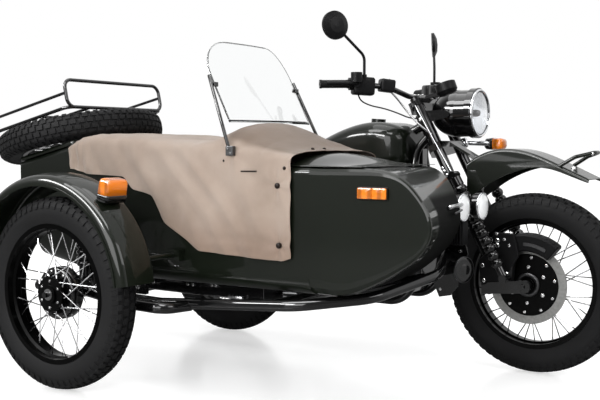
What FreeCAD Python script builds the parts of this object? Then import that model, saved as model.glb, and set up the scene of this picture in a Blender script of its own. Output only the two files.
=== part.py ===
"""Sidecar motorcycle: a flat-twin with a leading-link fork and a one-seat sidecar on its right.

Lengths are millimetres. Shapes are drawn in the rig's own frame: X forward, Y left, Z up, from the
ground below the rear axle. save() moves them so that ORIGIN, under the middle of the rig, is 0, 0, 0.
"""
import FreeCAD, Part
import math
import os

V = FreeCAD.Vector
X, Y, Z = V(1, 0, 0), V(0, 1, 0), V(0, 0, 1)

# ---- driving dimensions ----
ORIGIN = V(582, -398, 0)
WHEELBASE = 1470
TRACK = 1180                 # motorcycle's middle plane to the sidecar wheel's
WHEEL_LEAD = 159             # sidecar axle ahead of the rear axle
FIT = 0.3                    # gap between pieces that seat on each other
RUNNING = 0.05               # radial clearance of a shaft in its bore

# ---- wheels: four alike ----
TYRE_R = 342.5
TYRE_HALF = 52.5
RIM_R = 248                  # flange radius
RIM_HALF = 42
RIM_WALL = 5
SEAT_R = 236                 # bead seat
SPOKES = 40
SPOKE_R = 2.2
HUB_R = 34
FLANGE_R = 62
FLANGE_HALF = 44
AXLE_R = 10
DISC_R = 147.5
DISC_BAND = 30
DISC_THICK = 5
DISC_AT = 72                 # front disc's middle, to the right of the wheel's

# ---- steering and fork ----
RAKE = 27.5
STEER_TOP = V(980, 0, 1002)  # a point of the steering axis at the top yoke
LEG_OFFSET = 45              # legs ahead of the steering axis
LEG_Y = 100
LEG_R = 21
LEG_KNEE = V(1322, 0, 436)
LOW_YOKE = (186, 26)         # down the steering axis, thickness
FOOT_REACH = LEG_R + 3       # boss at a leg's foot, out from the leg's middle
STEM_R = 14
HEAD_R = 27
LINK_PIVOT = V(1335, 0, 325)
LINK_THICK = 14
EYE_HALF = 24                # a damper's eye, out from its middle

# ---- headlamp and bar ----
LAMP_CENTRE = V(1235, 0, 990)
LAMP_R = 95
LAMP_DEPTH = 178
BAR_R = 11
GRIP_R = 16.5
GRIP_LENGTH = 125
BAR_END_R = 8                # bore in each end of the bar
BAR_END_DEEP = 50

# ---- motorcycle frame and engine ----
TUBE_R = 16
CRADLE_Y = 120
CRADLE_Z = 238
ENGINE_HALF = CRADLE_Y - TUBE_R - FIT
STARTER_HALF = 72              # housing on top of the crankcase
GUSSET_HALF = 20               # sheet box behind the head tube
SWING_PIVOT = V(385, 0, 330)  # on the cradle's rear uprights
SEAT_LOW = 736
RAIL_TUBE_R = 13
REAR_GUARD_R = TYRE_R + 37.5
STAND_PIVOT = V(470, 0, 208)
STAND_PIN_R = 8
CYLINDER_X = 790
CYLINDER_Z = 430
FIN_R = 76
BARREL_R = 62
FIN_COUNT = 9
FIN_PITCH = 15
FIN_THICK = 5
HEAD_OUT = 362               # outer face of the rocker cover

# ---- sidecar ----
HULL_OUT = -930
HULL_IN = -385
HULL_WALL = 4
HULL_FLOOR = 370
RIM_Z = 796                  # cockpit edge
EDGE_R = 22
BILGE_R = 60
BULKHEAD_X = -40
COVER_THICK = 8
RAIL_R = 19
OUTER_RAIL_Y = -945
INNER_RAIL_Y = -470
LID_HINGE = V(-352, 0, 795)
LID_TILT = 12.5
LID_THICK = 22
SPARE_ALONG = 90             # spare's centre ahead of the lid's hinge, along the lid
SPARE_GAP = 8
RACK_R = 7
LID_PIN = V(-4, 0, -8)       # hinge pin, from the lid's own corner
PIN_R = 4
LID_KNUCKLES = (-850, -465)
KNUCKLE_HALF = 30
GUARD_R = 405
GUARD_THICK = 3
GUARD_OUT = -1265
GUARD_IN = -1104
GUARD_LOW = 6                # guard's front end, degrees above straight ahead
GUARD_HIGH = 172
STAY_TURNS = (18.5, 146.8)   # the guard's two stays, degrees above straight ahead

AUX_PLACES = ((1331, -357), (1352, -238))  # x, y of each driving lamp's face
AUX_Z = 642
AUX_R = 50
AUX_DEPTH = 48

RIGHT, LEFT = -1, 1
TINY = 1e-6


# ---- drawing helpers ----
def side(a, b):
    return V(a, 0, b)


def plan(a, b):
    return V(a, b, 0)


def front(a, b):
    return V(0, a, b)


def outline(place, start, *steps):
    """Closed wire. A pair is a straight run to it, a list of two pairs an arc through the first to the second."""
    edges = []
    here = place(*start)
    for step in steps:
        if isinstance(step, list):
            middle, end = place(*step[0]), place(*step[1])
            edges.append(Part.Arc(here, middle, end).toShape())
        else:
            end = place(*step)
            edges.append(Part.LineSegment(here, end).toShape())
        here = end
    if (here - place(*start)).Length > TINY:
        edges.append(Part.LineSegment(here, place(*start)).toShape())
    return Part.Wire(edges)


def slab(wire, low, high, along):
    """The flat shape inside a wire, from low to high along a direction."""
    solid = Part.Face(wire).extrude(along * (high - low))
    solid.translate(along * low)
    return solid


def rod(start, end, radius):
    return Part.makeCylinder(radius, (end - start).Length, start, end - start)


def prism(start, end, radius, sides):
    """A straight bar with a regular polygon as its section."""
    axis = (end - start).normalize()
    across = axis.cross(Y if abs(axis.y) < 0.9 else X).normalize()
    up = axis.cross(across)
    turns = [2 * math.pi * k / sides for k in range(sides + 1)]
    ring = [start + (across * math.cos(t) + up * math.sin(t)) * radius for t in turns]
    return Part.Face(Part.makePolygon(ring)).extrude(end - start)


def path(points, bend):
    """Straight runs joined by tangent arcs of one bend radius, less where a run is short."""
    edges = []
    here = points[0]
    for before, corner, after in zip(points, points[1:], points[2:]):
        back = (before - corner).normalize()
        ahead = (after - corner).normalize()
        half = (math.pi - back.getAngle(ahead)) / 2
        if half < TINY:
            continue
        reach = min(bend * math.tan(half), 0.45 * min((before - corner).Length, (after - corner).Length))
        radius = reach / math.tan(half)
        entry = corner + back * reach
        leave = corner + ahead * reach
        middle = corner + (back + ahead).normalize() * (radius / math.cos(half) - radius)
        edges.append(Part.LineSegment(here, entry).toShape())
        edges.append(Part.Arc(entry, middle, leave).toShape())
        here = leave
    edges.append(Part.LineSegment(here, points[-1]).toShape())
    return Part.Wire(edges)


def tube(points, radius, bend=60):
    """A bent tube's outer form along a list of points."""
    points = [V(*p) for p in points]
    if len(points) == 2:
        return rod(points[0], points[1], radius)
    section = Part.Wire(Part.makeCircle(radius, points[0], points[1] - points[0]))
    return path(points, bend).makePipeShell([section], True, False)


def loop(points, radius, bend):
    """A closed ring of tube through the corners of a flat polygon."""
    start = (V(*points[0]) + V(*points[1])) * 0.5
    corners = [start] + [V(*p) for p in points[1:]] + [V(*points[0]), start]
    section = Part.Wire(Part.makeCircle(radius, start, V(*points[1]) - V(*points[0])))
    return path(corners, bend).makePipeShell([section], True, False)


def turned(steps, centre, axis, angle=360):
    """A closed outline of (radius, along) pairs turned about an axis through the centre."""
    across = axis.cross(Z if abs(axis.z) < 0.9 else X).normalize()
    wire = outline(lambda r, a: centre + across * r + axis * a, *steps)
    return Part.Face(wire).revolve(centre, axis, angle)


def arch(steps, centre, low, high):
    """An outline of (radius, across) pairs turned about a wheel's axle between two angles up from straight ahead."""
    shell = turned(steps, centre, Y, high - low)
    shell.rotate(centre, Y, -high)
    return shell


def fuse(shapes):
    solid = shapes[0].multiFuse(shapes[1:]) if len(shapes) > 1 else shapes[0]
    return solid.removeSplitter()


def section(x, out, inn, low, high, r_high, r_low):
    """A rounded rectangle across the rig at one station."""
    k = 1 - math.sqrt(0.5)
    wire = outline(front, (out, low + r_low), (out, high - r_high),
                   [(out + k * r_high, high - k * r_high), (out + r_high, high)], (inn - r_high, high),
                   [(inn - k * r_high, high - k * r_high), (inn, high - r_high)], (inn, low + r_low),
                   [(inn - k * r_low, low + k * r_low), (inn - r_low, low)], (out + r_low, low),
                   [(out + k * r_low, low + k * r_low), (out, low + r_low)])
    wire.translate(X * x)
    return wire


def drawn_in(station, inset):
    """A station's rounded rectangle with every side moved in by the inset."""
    x, out, inn, low, high, r_high, r_low = station
    return x, out + inset, inn - inset, low + inset, high - inset, r_high - inset, r_low - inset


def lofted(stations, ruled=False):
    """A solid through the sections at a list of stations."""
    return Part.makeLoft([section(*station) for station in stations], True, ruled)


def both(make):
    """The same piece on the right and on the left, as two solids."""
    return Part.makeCompound([make(RIGHT), make(LEFT)])


def save(name, shape):
    shape.translate(ORIGIN * -1)
    shape.exportStep(f"parts/{name}.step")


# ---- wheels ----
def tyre():
    shoulder_r = TYRE_R - 14
    shoulder_y = TYRE_HALF - 8
    wall_r = (RIM_R + TYRE_R) / 2
    seat = RIM_HALF - RIM_WALL - FIT
    section = [(SEAT_R + FIT, -seat), (RIM_R, -seat), [(wall_r, -TYRE_HALF), (shoulder_r, -shoulder_y)],
               [(TYRE_R, 0), (shoulder_r, shoulder_y)], [(wall_r, TYRE_HALF), (RIM_R, seat)],
               (SEAT_R + FIT, seat)]
    return turned(section, V(0, 0, 0), Y)


def rim():
    well_r = SEAT_R - 12
    inner = RIM_HALF - RIM_WALL
    section = [(RIM_R, -RIM_HALF), (RIM_R, -inner), (SEAT_R, -inner), (SEAT_R, -18), (well_r + RIM_WALL, -12),
               (well_r + RIM_WALL, 12), (SEAT_R, 18), (SEAT_R, inner), (RIM_R, inner), (RIM_R, RIM_HALF),
               (SEAT_R - RIM_WALL, RIM_HALF), (SEAT_R - RIM_WALL, 20), (well_r, 12), (well_r, -12),
               (SEAT_R - RIM_WALL, -20), (SEAT_R - RIM_WALL, -RIM_HALF)]
    return turned(section, V(0, 0, 0), Y)


def spokes():
    """Crossed spokes: on each flange every second one leads and the others trail."""
    hole_r = FLANGE_R - 7
    rim_in = SEAT_R - 9
    lean = math.radians(46)
    for k in range(SPOKES):
        hand = RIGHT if k % 2 else LEFT
        lead = 1 if k % 4 < 2 else -1
        at_rim = 2 * math.pi * k / SPOKES
        at_hub = at_rim + lead * lean
        inner = V(hole_r * math.cos(at_hub), hand * (FLANGE_HALF - 2 + 4 * (lead > 0)), hole_r * math.sin(at_hub))
        outer = V(rim_in * math.cos(at_rim), hand * 8, rim_in * math.sin(at_rim))
        yield prism(inner, outer, SPOKE_R, 4)


def hub(half):
    flange = 5
    shell = [(AXLE_R + RUNNING, -half), (HUB_R, -half), (HUB_R, -FLANGE_HALF - flange),
             (FLANGE_R, -FLANGE_HALF - flange / 2), (FLANGE_R, -FLANGE_HALF + flange), (HUB_R + 6, -FLANGE_HALF + 14),
             (HUB_R + 6, FLANGE_HALF - 14), (FLANGE_R, FLANGE_HALF - flange), (FLANGE_R, FLANGE_HALF + flange / 2),
             (HUB_R, FLANGE_HALF + flange), (HUB_R, half), (AXLE_R + RUNNING, half)]
    return turned(shell, V(0, 0, 0), Y)


def disc(middle):
    """Brake disc: a steel band on a dished carrier."""
    low, high = middle - DISC_THICK / 2, middle + DISC_THICK / 2
    inner = DISC_R - DISC_BAND
    band = [(AXLE_R + 20, low), (DISC_R, low), (DISC_R, high), (inner, high), (inner - 20, high + 3),
            (AXLE_R + 20, high + 3)]
    return turned(band, V(0, 0, 0), Y)


def wheel(brake_at=None):
    half = FLANGE_HALF + 12
    shapes = [rim(), hub(half if brake_at is None else abs(brake_at) - 4), *spokes()]
    if brake_at is not None:
        shapes.append(disc(brake_at))
    return fuse(shapes)


def placed(shape, centre):
    copy = shape.copy()
    copy.translate(centre)
    return copy


# ---- steering ----
STEER_AXIS = V(-math.sin(math.radians(RAKE)), 0, math.cos(math.radians(RAKE)))
FRONT_AXLE = V(WHEELBASE, 0, TYRE_R)


def steer(down, hand=0, ahead=0):
    """A point by its distance down the steering axis from STEER_TOP, ahead of it and to one side."""
    forward = V(math.cos(math.radians(RAKE)), 0, math.sin(math.radians(RAKE)))
    return STEER_TOP - STEER_AXIS * down + forward * ahead + Y * (hand * LEG_Y)


SPINE = [steer(60), (840, 0, 872), (560, 0, 790), (430, 0, 690)]
SPINE_R = 19


def yoke(down, thick):
    """Clamp plate across both legs, narrow behind the stem so that it swings clear of the tank."""
    wide = LEG_Y + LEG_R + 6
    ahead = LEG_OFFSET + LEG_R + 6
    plate = outline(plan, (-26, -32), (LEG_OFFSET - LEG_R - 4, -wide), (ahead, -wide), (ahead, wide),
                    (LEG_OFFSET - LEG_R - 4, wide), (-26, 32))
    plate = slab(plate, -thick / 2, thick / 2, Z)
    plate.rotate(V(0, 0, 0), Y, -RAKE)
    return placed(plate, steer(down))


def fork():
    shapes = [rod(steer(-12), steer(196), STEM_R), yoke(-6, 20), yoke(*LOW_YOKE)]
    for hand in (RIGHT, LEFT):
        top = steer(-30, hand, LEG_OFFSET)
        knee = LEG_KNEE + Y * hand * LEG_Y
        foot = V(LINK_PIVOT.x, hand * LEG_Y, LINK_PIVOT.z)
        shapes.append(tube([top, knee, foot], LEG_R, 90))
        shapes.append(rod(foot - Y * hand * (LEG_R - 6), foot + Y * hand * FOOT_REACH, LEG_R + 3))
    return fuse(shapes)


LINK_NEAR = LEG_Y + FOOT_REACH + FIT


def leading_link():
    """Two arms from the legs' feet forward to the axle, which joins them."""
    shapes = []
    for hand in (RIGHT, LEFT):
        arm = outline(side, (LINK_PIVOT.x - 24, LINK_PIVOT.z + 20), (WHEELBASE + 8, TYRE_R + 24),
                      [(WHEELBASE + 30, TYRE_R), (WHEELBASE + 8, TYRE_R - 24)], (LINK_PIVOT.x - 24, LINK_PIVOT.z - 22))
        shapes.append(slab(arm, LINK_NEAR, LINK_NEAR + LINK_THICK, Y * hand))
        spacer = V(WHEELBASE, hand * (DISC_AT + DISC_THICK), TYRE_R)
        shapes.append(rod(spacer, V(WHEELBASE, hand * LINK_NEAR, TYRE_R), 22))
    reach = LINK_NEAR + LINK_THICK + 8
    shapes.append(rod(V(WHEELBASE, -reach, TYRE_R), V(WHEELBASE, reach, TYRE_R), AXLE_R))
    return fuse(shapes)


def coil_damper(low, high, radius, coils):
    """A damper with its spring drawn as stacked rings, and an eye at each end."""
    length = (high - low).Length
    axis = (high - low).normalize()
    start, end = 45, length - 45
    pitch = (end - start) / coils
    steps = [(0, 8), (radius - 8, 8), (radius - 8, start)]
    for k in range(coils):
        base = start + k * pitch
        steps.append([(radius, base + pitch / 2), (radius - 8, base + pitch)])
    steps += [(radius - 4, end), (radius - 4, length - 12), (0, length - 12)]
    body = turned(steps, low, axis)
    eyes = [rod(at - Y * EYE_HALF, at + Y * EYE_HALF, 15) for at in (low, high)]
    return fuse([body, *eyes])


def front_shock(hand):
    across = hand * (LINK_NEAR + LINK_THICK + FIT + EYE_HALF)
    return coil_damper(V(1412, across, 372), V(1206, across, 752), 24, 11)


def caliper():
    """Brake caliper astride the disc, on a plate from the right link arm."""
    block = slab(outline(side, (1354, 432), (1374, 505), (1434, 520), (1446, 470), (1394, 410)), -98, -58, Y)
    plate = slab(outline(side, (1374, 338), (1420, 340), (1430, 440), (1384, 440)), -LINK_NEAR + FIT, -92, Y)
    gap = DISC_THICK / 2 + 6
    slot = turned([(DISC_R - 60, -DISC_AT - gap), (DISC_R + 4, -DISC_AT - gap), (DISC_R + 4, -DISC_AT + gap),
                   (DISC_R - 60, -DISC_AT + gap)], FRONT_AXLE, Y)
    return fuse([block, plate]).cut(slot)


BAR_CLAMP = V(975, 0, 1058)
MIRROR_BASE = V(894, 306, 1135)
BAR_END = V(757, 410, 1098)
BAR_BEND = V(862, 315, 1100)


def bar_tube(radius):
    half = [V(975, 90, 1058), V(948, 215, 1090), BAR_BEND, BAR_END]
    other = [V(p.x, -p.y, p.z) for p in half]
    return tube([*reversed(other), *half], radius, 70)


def handlebar():
    risers = [rod(V(992, y, 1028), V(BAR_CLAMP.x, y, BAR_CLAMP.z), 16) for y in (-45, 45)]
    solid = fuse([bar_tube(BAR_R), *risers]).cut(yoke(-6, 20 + 2 * FIT))
    for hand in (RIGHT, LEFT):
        end, along = bar_side(hand)
        solid = solid.cut(rod(end - along * BAR_END_DEEP, end + along, BAR_END_R))
    return solid


def bar_side(hand):
    """One grip's end, and the direction outward along it."""
    end = V(BAR_END.x, hand * BAR_END.y, BAR_END.z)
    bend = V(BAR_BEND.x, hand * BAR_BEND.y, BAR_BEND.z)
    return end, (end - bend).normalize()


def grip(hand):
    end, along = bar_side(hand)
    outer = rod(end - along * (GRIP_LENGTH - 12), end, GRIP_R)
    return outer.cut(rod(end - along * GRIP_LENGTH, end + along, BAR_R + FIT))


def control(hand):
    """Switch block with its reservoir, and the lever ahead of the grip."""
    end, along = bar_side(hand)
    near = end - along * (GRIP_LENGTH - 12 + FIT)
    ahead = V(abs(along.y), hand * abs(along.x), 0).normalize()
    pivot = near - along * 24 + ahead * 34
    block = rod(near - along * 46, near, 24)
    pot = rod(pivot + Z * 4, pivot + Z * 42, 22)
    lever = tube([pivot, pivot + along * 50 + ahead * 16, pivot + along * 118 + ahead * 12], 7, 40)
    bridge = rod(near - along * 24 + ahead * 12, pivot, 15)
    mast = V(MIRROR_BASE.x, hand * MIRROR_BASE.y, MIRROR_BASE.z)
    boss = rod(V(mast.x, mast.y, 1102), mast, 10)
    return fuse([block, pot, lever, bridge, boss]).cut(bar_tube(BAR_R + FIT))


def mirror(hand):
    base = V(MIRROR_BASE.x, hand * MIRROR_BASE.y, MIRROR_BASE.z + FIT)
    elbow = base + Z * 70
    back = V(846, hand * 398, 1292)
    stalk = tube([base, elbow, back], 5.5, 40)
    facing = V(-0.88, -hand * 0.46, -0.06).normalize()
    centre = V(832, hand * 420, 1315)
    head = turned([(0, -20), (30, -17), (54, -6), (54, 6), (0, 6)], centre, facing)
    return fuse([stalk, head, rod(back, centre - facing * 10, 9)])


def headlamp():
    """Lamp bowl, hollow in front for the lens, held by two ears on the yokes."""
    mouth = LAMP_CENTRE
    bowl = turned([(0, -LAMP_DEPTH), (50, -LAMP_DEPTH), [(86, -LAMP_DEPTH + 50), (LAMP_R - 3, -70)], (LAMP_R - 3, -26),
                   (LAMP_R + 3, -24), (LAMP_R + 3, 0), (LAMP_R - 5, 0), (LAMP_R - 8, -24), (0, -90)], mouth, X)
    ears = []
    for hand in (RIGHT, LEFT):
        pivot = V(1140, hand * (LAMP_R + 4), 985)
        ears.append(rod(V(1140, hand * (LAMP_R - 12), 985), pivot + Y * hand * 4, 14))
        leg = steer(50, hand, LEG_OFFSET)
        ears.append(slab(outline(side, (pivot.x - 4, pivot.z + 16), (pivot.x + 14, pivot.z), (pivot.x - 4, pivot.z - 16),
                                 (leg.x + 8, leg.z - 26), (leg.x, leg.z + 22)), LAMP_R + 2, LAMP_R + 8, Y * hand))
    solid = fuse([bowl, *ears])
    legs = [rod(steer(-60, hand, LEG_OFFSET), steer(160, hand, LEG_OFFSET), LEG_R + FIT) for hand in (RIGHT, LEFT)]
    return solid.cut(legs[0]).cut(legs[1])


def headlamp_lens():
    dome = [(0, -14), (LAMP_R - 8, -14), (LAMP_R - 6, -2), [(LAMP_R / 2 + 2, 10), (12, 14)], (0, 14)]
    return turned(dome, LAMP_CENTRE, X)


def instrument():
    cup = turned([(0, -36), (30, -36), (42, -20), (42, 12), (38, 14), (0, 14)], V(1092, 0, 1098), V(-0.36, 0, 0.93))
    foot = slab(outline(side, (1010, 1052), (1085, 1064), (1085, 1078), (1012, 1066)), -18, 18, Y)
    return fuse([cup, foot]).cut(headlamp()).cut(yoke(-6, 20))


def front_mudguard():
    """High guard with deep rear skirts, its stays on the lower yoke, and the bumper hoop at its tip."""
    half, thick = 84, 3
    stations = [  # x, skirt, crown
        (1224, 655, 798), (1262, 680, 822), (1310, 714, 842), (1365, 745, 851), (1430, 770, 847),
        (1500, 782, 828), (1560, 774, 803), (1630, 750, 771), (1692, 728, 742)]
    outer = lofted([(x, -half, half, skirt, crown, 12, 1) for x, skirt, crown in stations])
    inner = lofted([(x, thick - half, half - thick, skirt - 60, crown - thick, 9, 1) for x, skirt, crown in stations])
    hoop = tube([(1585, -half - 4, 788), (1640, -half + 8, 822), (1695, -30, 838), (1695, 30, 838),
                 (1640, half - 8, 822), (1585, half + 4, 788)], 7, 30)
    root = [steer(down, 0, LEG_OFFSET + LEG_R + 6 + FIT) for down in (178, 196)]
    bracket = slab(outline(side, *[(p.x, p.z) for p in root], (1240, 800), (1240, 814)), -30, 30, Y)
    return fuse([outer.cut(inner), hoop, bracket])


def indicator(hand):
    leg = rod(steer(-30, hand, LEG_OFFSET), LEG_KNEE + Y * hand * LEG_Y, LEG_R + FIT)
    stem = rod(V(1112, hand * (LEG_Y + 6), 872), V(1288, hand * 150, 858), 6).cut(leg).cut(yoke(*LOW_YOKE))
    stem = max(stem.Solids, key=lambda solid: solid.Volume)
    body = turned([(0, -30), (22, -30), (30, -8), (30, 10), (24, 22), (0, 24)], V(1302, hand * 165, 858), X)
    return fuse([stem, body])


# ---- motorcycle ----
def cradle(hand, radius):
    """One side of the cradle: from the head tube down, back under the engine and up to the seat rail."""
    y = hand * CRADLE_Y
    return tube([steer(104), (980, y * 0.27, 845), (985, y * 0.5, 750), (1030, y, 560), (1035, y, 330),
                 (960, y, CRADLE_Z), (430, y, CRADLE_Z), (200, y, 706)], radius, 110)


def main_frame():
    """Head tube, backbone, two-tube cradle, seat rails, footrests and the lugs that carry the rest."""
    rail_z = SEAT_LOW - RAIL_TUBE_R - FIT
    shapes = [rod(steer(14), steer(168), HEAD_R), tube(SPINE, SPINE_R, 120)]
    for hand in (RIGHT, LEFT):
        y = hand * CRADLE_Y
        shapes.append(cradle(hand, TUBE_R))
        shapes.append(tube([SPINE[-1], (330, y * 0.8, 712), (200, y, rail_z), (-125, y, rail_z)], RAIL_TUBE_R, 70))
        shapes.append(rod(V(520, y, CRADLE_Z + 12), V(520, y + hand * 130, CRADLE_Z + 60), 14))
        shapes.append(rod(V(58, y, 702), V(58, hand * (SHOCK_TOP_Y - EYE_HALF - FIT), 702), 12))
        shapes.append(Part.makeBox(30, 16, CRADLE_Z - STAND_PIVOT.z + 12,
                                   V(STAND_PIVOT.x - 15, min(hand * 110, hand * 126), STAND_PIVOT.z - 12)))
    for x, z in ((200, rail_z), (-125, 714)):
        shapes.append(rod(V(x, -CRADLE_Y, z), V(x, CRADLE_Y, z), 12))
    gusset = outline(side, (972, 860), (1003, 850), (1004, 690), (950, 700), (885, 790), (872, 812), (966, 813))
    shapes.append(slab(gusset, -GUSSET_HALF, GUSSET_HALF, Y))
    solid = fuse(shapes)
    stand_pin = rod(STAND_PIVOT - Y * 200, STAND_PIVOT + Y * 200, STAND_PIN_R)
    return solid.cut(rod(steer(-20), steer(210), STEM_R + RUNNING)).cut(stand_pin)


def engine():
    """Crankcase and gearbox as one closed block."""
    rear = SWING_PIVOT.x + 30
    case = slab(outline(side, (1000, 300), [(1012, 440), (930, 560)], (800, 606), (560, 612), (470, 560), (rear, 470),
                        (rear, 330), (460, 262), (960, 262)), -ENGINE_HALF, ENGINE_HALF, Y)
    cover = rod(V(1000, 0, 420), V(1026, 0, 420), 80)
    starter = slab(outline(side, (600, 590), (612, 676), [(632, 698), (670, 704)], (850, 700),
                           [(892, 690), (912, 650)], (930, 555)), -STARTER_HALF, STARTER_HALF, Y)
    return fuse([case, cover, starter])


def cylinder(hand):
    """Finned barrel and head of one side, with the rocker cover."""
    axis = Y * hand
    base = V(CYLINDER_X, 0, CYLINDER_Z)
    start = ENGINE_HALF + FIT
    first = start + 22
    steps = [(0, start), (BARREL_R, start), (BARREL_R, first)]
    for k in range(FIN_COUNT):
        low = first + k * FIN_PITCH
        steps += [(FIN_R, low), (FIN_R, low + FIN_THICK), (BARREL_R, low + FIN_THICK), (BARREL_R, low + FIN_PITCH)]
    end = first + FIN_COUNT * FIN_PITCH
    steps += [(FIN_R, end), (FIN_R, end + 10), (0, end + 10)]
    barrel = turned(steps, base, axis)
    cover = slab(outline(side, (CYLINDER_X - 62, CYLINDER_Z - 46), [(CYLINDER_X - 74, CYLINDER_Z),
                 (CYLINDER_X - 62, CYLINDER_Z + 46)], [(CYLINDER_X, CYLINDER_Z + 66), (CYLINDER_X + 62, CYLINDER_Z + 46)],
                 [(CYLINDER_X + 74, CYLINDER_Z), (CYLINDER_X + 62, CYLINDER_Z - 46)],
                 [(CYLINDER_X, CYLINDER_Z - 66), (CYLINDER_X - 62, CYLINDER_Z - 46)]), end + 8, HEAD_OUT, axis)
    face = [edge for edge in cover.Edges if abs(edge.CenterOfMass.y - hand * HEAD_OUT) < 1]
    return fuse([barrel, cover.makeFillet(18, face)])


def intake(hand):
    """Carburettor behind the cylinder and its pipe to the air box."""
    carb = rod(V(690, hand * 235, 478), V(600, hand * 235, 500), 34)
    pipe = tube([(CYLINDER_X - 40, hand * 235, 458), (690, hand * 235, 478), (560, hand * 232, 520),
                 (510, hand * 170, 610), (500, hand * 84, 655)], 22, 60)
    return fuse([carb, pipe])


def intakes():
    box = Part.makeBox(150, 190, 74, V(430, -95, 616 + FIT))
    box = box.makeFillet(16, box.Edges)
    cylinders = [cylinder(hand) for hand in (RIGHT, LEFT)]
    solid = fuse([intake(RIGHT), intake(LEFT), box])
    for other in [*cylinders, engine(), tube(SPINE, SPINE_R + FIT, 120), main_frame()]:
        solid = solid.cut(other)
    return max(solid.Solids, key=lambda s: s.Volume)


def exhaust(hand):
    """Header from the cylinder's front, down and back to a long silencer."""
    y = hand * 232
    header = tube([(CYLINDER_X + FIN_R - 14, y, 420), (905, y, 404), (905, y, 300), (800, y, 246), (470, y, 232),
                   (330, y, 232)], 19, 60)
    low = V(340, y, 232)
    high = V(-330, y, 262)
    along = (high - low).normalize()
    can = turned([(0, 0), (20, 0), [(34, 40), (40, 110)], (40, 600), [(36, 640), (24, 670)], (17, 670), (17, 560),
                  (0, 560)], low, along)
    return fuse([header, can]).cut(cylinder(hand))


SHOCK_TOP_Y = 158
SHOCK_LOW = V(-8, 174, TYRE_R + 77.5)


def swingarm():
    """Rear arms on their pivot, the shaft housing and bevel box on the right, the shock lugs and the axle."""
    axle = V(0, 0, TYRE_R)
    pivot = SWING_PIVOT
    bend = V(220, 98, pivot.z + (TYRE_R - pivot.z) / 4)
    left = tube([(pivot.x, 78, pivot.z), bend, (0, 98, TYRE_R)], 19, 60)
    right = tube([(pivot.x, -81, pivot.z), (bend.x, -100, bend.z), (60, -104, TYRE_R)], 22, 60)
    box = turned([(AXLE_R, -74), (70, -74), (92, -88), (92, -104), [(74, -132), (40, -146)], (AXLE_R, -150)], axle, Y)
    cross = rod(pivot - Y * ENGINE_HALF, pivot + Y * ENGINE_HALF, 20)
    lug = rod(V(0, 78, TYRE_R), V(0, 118, TYRE_R), 26)
    post = rod(V(0, 98, TYRE_R), V(SHOCK_LOW.x, 98, SHOCK_LOW.z), 14)
    reach = SHOCK_LOW.y - EYE_HALF - FIT
    ends = [rod(V(SHOCK_LOW.x, hand * 88, SHOCK_LOW.z), V(SHOCK_LOW.x, hand * reach, SHOCK_LOW.z), 14)
            for hand in (RIGHT, LEFT)]
    shaft = rod(axle - Y * 156, axle + Y * 132, AXLE_R)
    return fuse([left, right, box, cross, lug, post, *ends, shaft])


def rear_shock(hand):
    return coil_damper(V(SHOCK_LOW.x, hand * SHOCK_LOW.y, SHOCK_LOW.z), V(58, hand * SHOCK_TOP_Y, 700), 27, 9)


def fuel_tank():
    stations = [  # x, half width, low, high, top radius, low radius
        (478, 62, 798, 838, 16, 12), (560, 108, 784, 885, 38, 26), (700, 146, 771, 938, 60, 38),
        (800, 154, 768, 958, 66, 44), (900, 148, 772, 950, 62, 46), (965, 96, 800, 915, 42, 38)]
    body = lofted([(x, -half, half, *rest) for x, half, *rest in stations])
    tunnel = tube(SPINE, SPINE_R + FIT, 120)
    slot = slab(outline(front, (-25, 700), (25, 700), (25, 815), (-25, 815)), 470, 980, X)
    cap = rod(V(786, 0, 945), V(788, 0, 974), 30)
    return fuse([body, cap]).cut(tunnel).cut(slot).cut(rod(steer(0), steer(180), HEAD_R + 6))


def seat():
    stations = [  # x, half width, low, high, top radius, low radius
        (-112, 78, SEAT_LOW + 4, 778, 14, 8), (-60, 118, SEAT_LOW, 808, 24, 10), (100, 142, SEAT_LOW, 812, 28, 10),
        (260, 138, SEAT_LOW, 800, 28, 10), (400, 112, SEAT_LOW + 6, 818, 26, 10), (462, 76, SEAT_LOW + 14, 800, 20, 10)]
    form = lofted([(x, -half, half, *rest) for x, half, *rest in stations])
    return form.cut(main_frame())


def rear_mudguard():
    r, half, thick = REAR_GUARD_R, 74, 3
    section = [(r - 8, -half), [(r - 2, -half / 2), (r, 0)], [(r - 2, half / 2), (r - 8, half)], (r - 34, half),
               (r - 34, half - thick), (r - 8 - thick, half - thick), [(r - 2 - thick, half / 2), (r - thick, 0)],
               [(r - 2 - thick, -half / 2), (r - 8 - thick, thick - half)], (r - 34, thick - half), (r - 34, -half)]
    return arch(section, V(0, 0, TYRE_R), 60, 190)


def tail_lamp():
    foot = slab(outline(side, (-330, 505), (-440, 560), (-440, 520), (-345, 470)), -30, 30, Y)
    glass = turned([(0, 0), (36, 0), (36, 26), (28, 34), (0, 34)], V(-440, 0, 540), X * -1)
    return fuse([foot, glass]).cut(rod(V(0, -80, TYRE_R), V(0, 80, TYRE_R), REAR_GUARD_R + FIT))


def crash_bar():
    """Bar from the cradle's front to the right, with the two driving lamps' brackets."""
    bar = tube([(1032, -CRADLE_Y, 560), (1064, -226, 574), (1220, -256, 596), (1256, -300, 596), (1256, -362, 596)], 12, 30)
    posts = [tube([foot, (1256, y, AUX_Z), (x - AUX_DEPTH - FIT, y, AUX_Z)], 8, 12)
             for (x, y), foot in zip(AUX_PLACES, ((1256, -357, 596), (1218, -256, 596)))]
    return fuse([bar, *posts]).cut(cradle(RIGHT, TUBE_R + FIT))


def aux_lamps():
    shapes = []
    for x, y in AUX_PLACES:
        shapes.append(turned([(0, -AUX_DEPTH), (28, -AUX_DEPTH), (AUX_R - 2, -22), (AUX_R, -4), (AUX_R - 4, 0), (0, 3)],
                             V(x, y, AUX_Z), X))
    return Part.makeCompound(shapes)


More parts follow.
